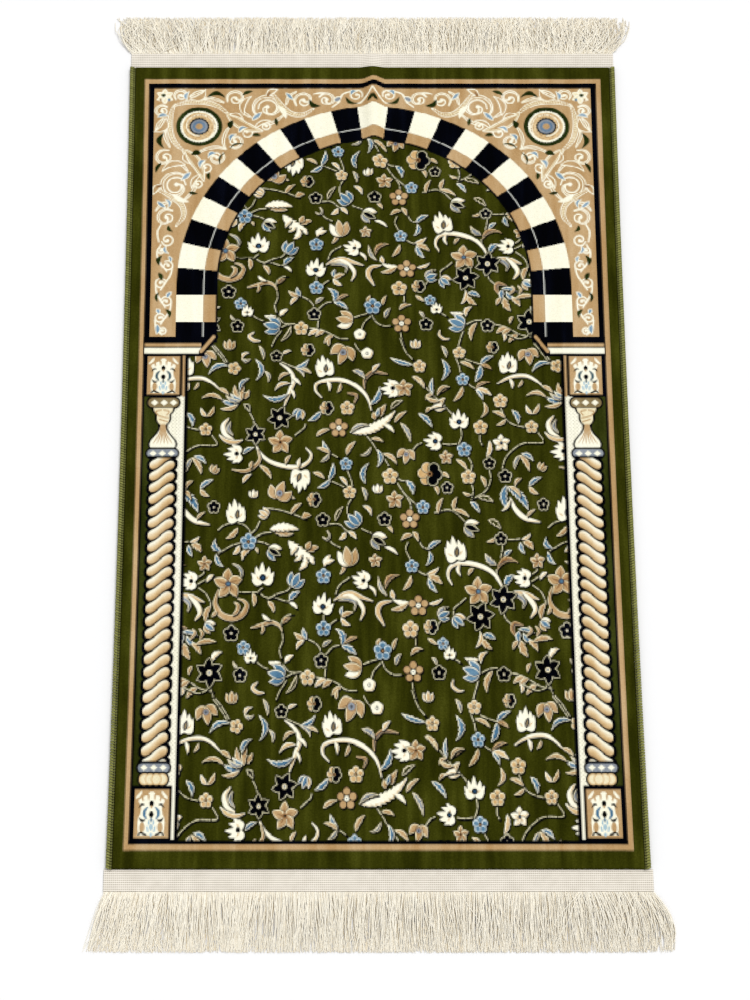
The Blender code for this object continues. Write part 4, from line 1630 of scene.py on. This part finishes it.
def make_pile(rug):
    """The pile in three lengths side by side."""
    chart = rug_chart()
    material = pile_material(rug)
    columns = round(2 * PILE_REACH / rug.knot_pitch)
    rows = round(PILE_LENGTH / rug.knot_pitch)
    all_x = np.linspace(-PILE_REACH, PILE_REACH, columns + 1)
    ys, y_drops = with_skirt(np.linspace(-PILE_HALF, PILE_HALF, rows + 1), True, True)
    cuts = (0, columns // 3, 2 * columns // 3, columns)
    for index, name in enumerate(("pile_left", "pile_centre", "pile_right")):
        part = all_x[cuts[index] : cuts[index + 1] + 1]
        xs, x_drops = with_skirt(part, index == 0, index == 2)
        piece = make_pile_strip(name, xs, x_drops, ys, y_drops, chart, material)
        put_on(piece, "pile", "rug_body")


def make_back():
    """The woven back: a thin closed slab under the pile."""
    xs = np.linspace(-PILE_HALF_WIDTH, PILE_HALF_WIDTH, 49)
    ys = np.linspace(-PILE_HALF, PILE_HALF, 57)
    points, faces = closed_slab(xs, ys, lambda x, y: np.full(len(x), BACK_THICKNESS))
    back = make_piece("woven_back", points, faces, backing_material())
    put_on(back, "pile", "rug_body")


def closed_slab(xs, ys, top):
    """A thin slab over a grid: points and faces, with its underside on the floor."""
    x, y = (grid.ravel() for grid in np.meshgrid(xs, ys))
    upper = np.column_stack((x, y, top(x, y)))
    lower = np.column_stack((x, y, np.zeros(len(x))))
    columns, rows = len(xs), len(ys)
    faces = [grid_faces(rows, columns), grid_faces(rows, columns, len(x))[:, ::-1]]
    along = np.arange(columns - 1)
    down = np.arange(rows - 1) * columns
    rims = (
        (along + 1, along),
        ((rows - 1) * columns + along, (rows - 1) * columns + along + 1),
        (down, down + columns),
        (down + 2 * columns - 1, down + columns - 1),
    )
    faces += [np.column_stack((a, b, b + len(x), a + len(x))) for a, b in rims]
    return np.concatenate((upper, lower)), np.concatenate(faces)


# Where a loop of yarn is measured, over the edge from its outer side and back underneath: its place
# across, and the painted shade of the loop's front and back there. The loop is lit on top and darkest
# in dots between the stitches and where it turns down beside the pile.
STITCH_SHADES = (
    (1.00, 0.50, 0.55), (0.93, 0.55, 0.62), (0.66, 0.72, 0.90), (0.10, 0.74, 1.00),
    (-0.14, 0.60, 1.00), (-0.36, 0.02, 0.60), (-0.54, 0.10, 0.62), (-0.68, 0.50, 0.62),
    (-0.86, 0.30, 0.30), (-1.00, 0.12, 0.12), (-0.90, 0.60, 0.70), (0.00, 0.60, 0.70),
    (0.90, 0.60, 0.70),
)
STITCHES_OVER = 10
STITCH_SIDES = 4
STITCH_THICKNESS = 0.0009
STITCH_FULLNESS = 0.56
STITCH_SLANT = 0.35


def make_side(rug, name, side):
    """One whipped side: a loop of yarn beside the next, all around the edge."""
    count = round(PILE_LENGTH / rug.stitch_pitch)
    rng = np.random.default_rng(SEED + side)
    middle = RUG_HALF_WIDTH - SIDE_WIDTH / 2
    half_x, half_z = SIDE_WIDTH / 2 - STITCH_THICKNESS, SIDE_THICKNESS / 2 - STITCH_THICKNESS
    starts = -PILE_HALF + (np.arange(count) + 0.5) * PILE_LENGTH / count
    across, front_shade, back_shade = np.array(STITCH_SHADES).T[..., None]
    over = np.where(np.arange(len(across)) < STITCHES_OVER, 1, -1)[:, None]
    upward = (1 - np.abs(across) ** 3) ** (1 / 3) * over
    turns = corner_turns(STITCH_SIDES)
    bulge = STITCH_THICKNESS * np.cos(turns) * rng.uniform(0.85, 1.05, count)[:, None, None]
    x = side * (middle + across * (half_x + bulge))
    z = SIDE_THICKNESS / 2 + upward * (half_z + bulge)
    along = rug.stitch_pitch * (STITCH_SLANT * across + STITCH_FULLNESS * np.sin(turns))
    points = np.stack(np.broadcast_arrays(x, starts[:, None, None] + along, z), axis=-1).reshape(-1, 3)
    faces = ring_faces(count, len(across), STITCH_SIDES, True)
    faces = faces[:, (1, 2, 3, 0) if side > 0 else (0, 3, 2, 1)]
    piece = make_piece(f"whipped_side_{name}", points, faces, whipping_material(rug))
    # Painted shade: each loop's front and back take their shade from the table, times a random tone for
    # each stitch.
    tones = np.where(np.sin(turns) > 0, front_shade, back_shade)
    give_shading(piece, np.clip(tones * rng.uniform(0.85, 1.12, count)[:, None, None], 0.03, 1.3))
    put_on(piece, "whipping", f"side_binding_{name}")


TAPE_THREAD = 0.0026
THREAD_PINCH = 0.25


def make_tape(rug, end):
    """One end's ribbed tape, its ribs pinched by a thread every few millimetres."""
    depth, half_width = end.tape_depth, end.half_width
    start, finish = PILE_HALF + SEWN_GAP, PILE_HALF + depth
    ribs = round((depth - SEWN_GAP) / TAPE_RIB_PITCH)
    ys = np.sort(end.side * np.linspace(start, finish, 4 * ribs + 1))
    threads = round(2 * half_width / TAPE_THREAD)
    xs = np.linspace(-half_width, half_width, 2 * threads + 1)

    def rib(x, y):
        """Share of a rib's height at a point, and how deep its thread is pulled in."""
        phase = (np.abs(y) - start) / (finish - start) * ribs
        crown = np.abs(np.sin(math.pi * phase)) ** 0.6
        return crown, 0.5 + 0.5 * np.cos(math.pi * (x + half_width) / half_width * threads)

    def top(x, y):
        crown, thread = rib(x, y)
        return TAPE_THICKNESS - TAPE_RIB_HEIGHT * (1 - crown * (1 - THREAD_PINCH * thread))

    points, faces = closed_slab(xs, ys, top)
    material = cotton_material(f"cotton_tape_{end.name}", rug.tape_colour, rug.tape_painted_shade, 0.05)
    piece = make_piece(f"ribbed_tape_{end.name}", points, faces, material)
    crown, thread = rib(points[:, 0], points[:, 1])
    # Painted shade: the grooves between the ribs, and the hollows the thread pulls in, are mixed
    # towards the tape's shade colour.
    give_shading(piece, np.clip((1 - crown) ** 0.8 * (0.30 + 0.70 * thread) + 0.03, 0, 1))
    put_on(piece, "tape", f"heading_{end.name}")


YARN_STATIONS = 8
YARN_SIDES = 3
# Yarns gather in bunches of this width, and reach this far past the solid's strands.
BUNCH_WIDTH = 0.0062
BUNCHES = 300
YARN_OVERREACH = 0.0022
# The fringe fans out from this share of its half width on, slowly at first.
SPLAY_STARTS_AT = 0.55
SPLAY_POWER = 1.6
STRAY_SHARE, STRAY_SLOPE = 0.14, 3.4
YARN_SWING = 0.0034
# How far yarns lean aside: with the waves along the end, with their bunch, and each by itself,
# all of it looser towards the corners.
WAVE_LEAN, BUNCH_LEAN, YARN_LEAN = 0.045, 0.03, 0.065
WAVES = ((0.7, 91, 1), (0.5, 210, 0))
LOOSER_AT_CORNERS = 1.2
# How far a yarn is drawn to its bunch's middle, how much that changes, and how short yarns fall.
GATHER, GATHER_CHANGE = 0.30, 0.15
SHORT_FALL = 0.036
# The yarns that may pass the fringe's outline, and how far; the others stay about inside it.
PASSING_SHARE, PASSING_REACH = 0.2, 1.3
# How high a yarn lies: at least, more with its layer, and most in its middle.
YARN_REST, YARN_LAYER, YARN_HUMP = 0.0006, 0.0010, 0.0040


def fringe_paths(end, count, rng):
    """The yarns' paths, and how high in the fringe each lies."""
    root = PILE_HALF + end.tape_depth + SEWN_GAP
    reach = end.strand_length - SEWN_GAP + YARN_OVERREACH
    share = np.linspace(0, 1, YARN_STATIONS)[None, :]
    root_x = (np.arange(count) + rng.uniform(0.1, 0.9, count)) / count * 2 - 1
    root_x = root_x * (end.half_width - 0.0005)
    bunch = np.round(root_x / BUNCH_WIDTH)
    lean, pull = rng.normal(0, 1, (BUNCHES, 2))[(bunch + BUNCHES // 2).astype(int)].T
    outward = (np.abs(root_x) / end.half_width - SPLAY_STARTS_AT) / (1 - SPLAY_STARTS_AT)
    outward = np.clip(outward, 0, 1) ** SPLAY_POWER
    fans = np.array(end.fans)[(root_x > 0).astype(int)]
    widening = np.tan(np.radians(end.splay)) * fans[:, 0]
    bow = fans[:, 1:] * np.sin(math.pi * share)
    loose = end.ruffled * (1 + LOOSER_AT_CORNERS * outward)
    stray = np.where(rng.uniform(0, 1, count) < STRAY_SHARE, STRAY_SLOPE, 1.0)
    wave = sum(size * np.sin(pace * root_x + start)
               for size, pace, start in ((1, 38, 2 * end.side), *WAVES))
    slope = np.sign(root_x) * widening * outward + WAVE_LEAN * wave
    slope = slope + loose * (BUNCH_LEAN * lean + YARN_LEAN * stray * rng.normal(0, 1, count))
    gathered = (bunch * BUNCH_WIDTH - root_x) * (GATHER + GATHER_CHANGE * pull)
    length = reach * (1 - SHORT_FALL * end.ruffled * np.abs(rng.normal(0, 1, count)))
    length = np.minimum(length, reach / np.sqrt(1 + slope**2) * 1.02)[:, None]
    swing = (rng.normal(0, YARN_SWING, count) * loose)[:, None]
    turns, first = (rng.uniform(low, high, count)[:, None] for low, high in ((0.8, 2.4), (0, 6)))
    x = root_x[:, None] + slope[:, None] * length * (share + bow * outward[:, None])
    x = x + swing * share * np.sin(math.pi * share * turns + first)
    x = x + gathered[:, None] * np.sin(math.pi * np.clip(share * 0.9, 0, 1))
    passing = rng.uniform(0, 1, count) < PASSING_SHARE
    most = np.where(passing, PASSING_REACH, rng.uniform(0.75, 1.1, count))[:, None]
    limit = end.half_width + 0.0005 + widening[:, None] * length * (share + bow) * most
    y = end.side * (root + length * share)
    layer = rng.uniform(0, 1, count)[:, None]
    hump = np.sin(math.pi * np.clip(share * 1.1, 0, 1)) ** 0.8
    z = YARN_REST + layer * (YARN_LAYER + YARN_HUMP * hump * (1 - 0.5 * share))
    return np.stack(np.broadcast_arrays(np.clip(x, -limit, limit), y, z), axis=-1), layer


def make_fringe(rug, end):
    """One end's fringe: fine cotton yarns, loosely bunched, fanning out at the corners."""
    rng = np.random.default_rng(SEED + 10 + end.side)
    count = rug.yarns_per_end
    paths, layer = fringe_paths(end, count, rng)
    share = np.linspace(0, 1, YARN_STATIONS)[None, :]
    halves = rug.yarn_width / 2 * rng.uniform(0.8, 1.2, count)[:, None] * (1 - 0.3 * share**2)
    points, faces = tubes(paths, halves, YARN_SIDES)
    points[:, 2] = np.maximum(points[:, 2], 0.0)
    material = cotton_material(f"fringe_cotton_{end.name}", rug.fringe_colour, rug.fringe_painted_shade, 0.6)
    piece = make_piece(f"fringe_yarns_{end.name}", points, faces, material)
    # Painted shade: yarns lying lower in the fringe are mixed towards its shade colour, with a random
    # share added for each yarn.
    shade_below = (1 - layer) ** 2.4 + 0.22 * rng.uniform(0, 1, count)[:, None]
    give_shading(piece, np.repeat(np.clip(shade_below, 0, 1), YARN_STATIONS * YARN_SIDES, axis=1))
    put_on(piece, "fringe", f"fringe_{end.name}")


# ---- Stage

LAMP_PLACE = (1.5, 2.0, 3.4)
LAMP_ANGLE = math.radians(24)
LENS, SENSOR_WIDTH = 50.0, 36.0
FLOOR_HALF = 12.0


def add_lamp(stage):
    """A broad, soft lamp, far off over the arched end's right corner, turned to the rug."""
    lamp = bpy.data.lights.new("overhead", "SUN")
    lamp.angle = LAMP_ANGLE
    lamp.energy = stage.lamp_strength
    item = put_in_scene("overhead", lamp)
    item.location = LAMP_PLACE
    x, y, z = LAMP_PLACE
    item.rotation_euler = (math.atan2(math.hypot(x, y), z), 0, math.atan2(x, -y))


def make_camera(stage):
    """The camera above the near end, tipped a little towards the arched end."""
    camera = bpy.data.cameras.new("camera")
    camera.lens = LENS
    camera.sensor_width = SENSOR_WIDTH
    item = put_in_scene("camera", camera)
    item.location = stage.camera_place
    item.rotation_euler = (stage.camera_tilt, 0, 0)
    bpy.context.scene.camera = item


def make_floor(stage):
    """The pale floor under the rug."""
    mesh = bpy.data.meshes.new("floor")
    sides = ((-1, -1), (1, -1), (1, 1), (-1, 1))
    mesh.from_pydata([(FLOOR_HALF * x, FLOOR_HALF * y, 0) for x, y in sides], [], [(0, 1, 2, 3)])
    mesh.materials.append(floor_material(stage))
    floor = put_in_scene("floor", mesh)


def make_sky(stage):
    """Even light from all around."""
    world = bpy.data.worlds.new("soft_sky")
    world.use_nodes = True
    shine = world.node_tree.nodes["Background"]
    shine.inputs["Color"].default_value = (1, 1, 1, 1)
    shine.inputs["Strength"].default_value = stage.sky_strength
    bpy.context.scene.world = world
    bpy.context.scene.view_settings.view_transform = "Standard"


# ---- The add-on

class RugSettings(bpy.types.PropertyGroup):
    """Sizes and colours of the rug's own pieces."""

    knot_pitch: bpy.props.FloatProperty(
        name="Knot Pitch", description="Distance between two knots of the pile",
        default=0.00165, min=0.001, max=0.01, precision=5, unit="LENGTH",
    )
    # Strength of the painted light and shade in the pile's streaks.
    pile_lean_shading: bpy.props.FloatProperty(
        name="Pile Streaks", description="How much the brushed pile's tone changes",
        default=0.15, min=0.0, max=1.0, subtype="FACTOR",
    )
    stitch_pitch: bpy.props.FloatProperty(
        name="Stitch Pitch", description="Distance between two turns of the whipping yarn",
        default=0.0035, min=0.001, max=0.02, precision=4, unit="LENGTH",
    )
    whipping_colour: bpy.props.FloatVectorProperty(
        name="Whipping Colour", description="Yarn whipped over the sides",
        default=tuple(linear("8B8C4E")), size=3, min=0.0, max=1.0, subtype="COLOR",
    )
    tape_colour: bpy.props.FloatVectorProperty(
        name="Tape Colour", description="Cotton tape across each end",
        default=tuple(linear("F3ECE0")), size=3, min=0.0, max=1.0, subtype="COLOR",
    )
    # Painted shade: the tape's colour in the grooves between its ribs.
    tape_painted_shade: bpy.props.FloatVectorProperty(
        name="Tape Shade", description="Cotton tape between its ribs",
        default=tuple(linear("8F8672")), size=3, min=0.0, max=1.0, subtype="COLOR",
    )
    fringe_colour: bpy.props.FloatVectorProperty(
        name="Fringe Colour", description="Fringe yarns on top",
        default=tuple(linear("FFFAEC")), size=3, min=0.0, max=1.0, subtype="COLOR",
    )
    # Painted shade: the colour of fringe yarns that lie below the others.
    fringe_painted_shade: bpy.props.FloatVectorProperty(
        name="Fringe Shade", description="Fringe yarns that lie below",
        default=tuple(linear("ECDDBE")), size=3, min=0.0, max=1.0, subtype="COLOR",
    )
    yarns_per_end: bpy.props.IntProperty(
        name="Yarns per End", description="Number of fringe yarns at each end",
        default=2050, min=10, max=3000,
    )
    yarn_width: bpy.props.FloatProperty(
        name="Yarn Width", description="Width of one fringe yarn at its root",
        default=0.00132, min=0.0002, max=0.005, precision=5, unit="LENGTH",
    )


class RugStageSettings(bpy.types.PropertyGroup):
    """Floor, light and camera."""

    floor_colour: bpy.props.FloatVectorProperty(
        name="Floor Colour", description="The floor under the rug",
        default=(0.865, 0.865, 0.87), size=3, min=0.0, max=1.0, subtype="COLOR",
    )
    sky_strength: bpy.props.FloatProperty(
        name="Sky Strength", description="Even light from all around",
        default=0.76, min=0.0, max=10.0,
    )
    lamp_strength: bpy.props.FloatProperty(
        name="Lamp Strength", description="Strength of the lamp overhead",
        default=1.62, min=0.0, max=100.0,
    )
    camera_place: bpy.props.FloatVectorProperty(
        name="Camera Place", description="Where the camera stands",
        default=(-0.0002, -0.4458, 1.8421), size=3, subtype="TRANSLATION",
    )
    camera_tilt: bpy.props.FloatProperty(
        name="Camera Tilt", description="How far the camera is tipped up from straight down",
        default=math.radians(11.65), unit="ROTATION",
    )


class RUG_OT_groups(bpy.types.Operator):
    """Builds the shared cloth effects"""

    bl_idname = "rug.build_groups"
    bl_label = "Cloth Effects"

    def execute(self, context):
        brushed_pile_group()
        cotton_group()
        return {"FINISHED"}


class RUG_OT_pile(bpy.types.Operator):
    """Makes the dyed pile and its woven back"""

    bl_idname = "rug.make_pile"
    bl_label = "Pile"

    def execute(self, context):
        make_pile(context.scene.rug)
        make_back()
        return {"FINISHED"}


class RUG_OT_sides(bpy.types.Operator):
    """Whips yarn over both long sides"""

    bl_idname = "rug.whip_sides"
    bl_label = "Whipped Sides"

    def execute(self, context):
        for name, side in (("left", -1), ("right", 1)):
            make_side(context.scene.rug, name, side)
        return {"FINISHED"}


class RUG_OT_tapes(bpy.types.Operator):
    """Sews the ribbed tape across both ends"""

    bl_idname = "rug.sew_tapes"
    bl_label = "Tapes"

    def execute(self, context):
        for end in ENDS:
            make_tape(context.scene.rug, end)
        return {"FINISHED"}


class RUG_OT_fringes(bpy.types.Operator):
    """Lays the fringe at both ends"""

    bl_idname = "rug.lay_fringes"
    bl_label = "Fringes"

    def execute(self, context):
        for end in ENDS:
            make_fringe(context.scene.rug, end)
        return {"FINISHED"}


class RUG_OT_stage(bpy.types.Operator):
    """Sets up the floor, the light and the camera"""

    bl_idname = "rug.set_stage"
    bl_label = "Stage"

    def execute(self, context):
        stage = context.scene.rug_stage
        make_camera(stage)
        make_floor(stage)
        make_sky(stage)
        add_lamp(stage)
        return {"FINISHED"}


class RUG_PT_panel(bpy.types.Panel):
    """The rug's settings and its pieces"""

    bl_idname = "RUG_PT_panel"
    bl_label = "Prayer Rug"
    bl_space_type = "VIEW_3D"
    bl_region_type = "UI"
    bl_category = "Rug"

    def draw(self, context):
        layout = self.layout
        for settings in (context.scene.rug, context.scene.rug_stage):
            for name in settings.__annotations__:
                layout.prop(settings, name)
        for operator in OPERATORS:
            layout.operator(operator.bl_idname)


OPERATORS = (RUG_OT_stage, RUG_OT_groups, RUG_OT_pile, RUG_OT_sides, RUG_OT_tapes, RUG_OT_fringes)
CLASSES = (RugSettings, RugStageSettings, *OPERATORS, RUG_PT_panel)


def register():
    """Adds the add-on's classes and the scene's settings."""
    for item in CLASSES:
        bpy.utils.register_class(item)
    bpy.types.Scene.rug = bpy.props.PointerProperty(type=RugSettings)
    bpy.types.Scene.rug_stage = bpy.props.PointerProperty(type=RugStageSettings)


def unregister():
    """Takes them away again."""
    del bpy.types.Scene.rug_stage
    del bpy.types.Scene.rug
    for item in reversed(CLASSES):
        bpy.utils.unregister_class(item)


def main():
    """Dresses the rug."""
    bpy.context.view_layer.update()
    register()
    bpy.ops.rug.set_stage()
    bpy.ops.rug.build_groups()
    bpy.ops.rug.make_pile()
    bpy.ops.rug.whip_sides()
    bpy.ops.rug.sew_tapes()
    bpy.ops.rug.lay_fringes()


if __name__ == "__main__":
    main()
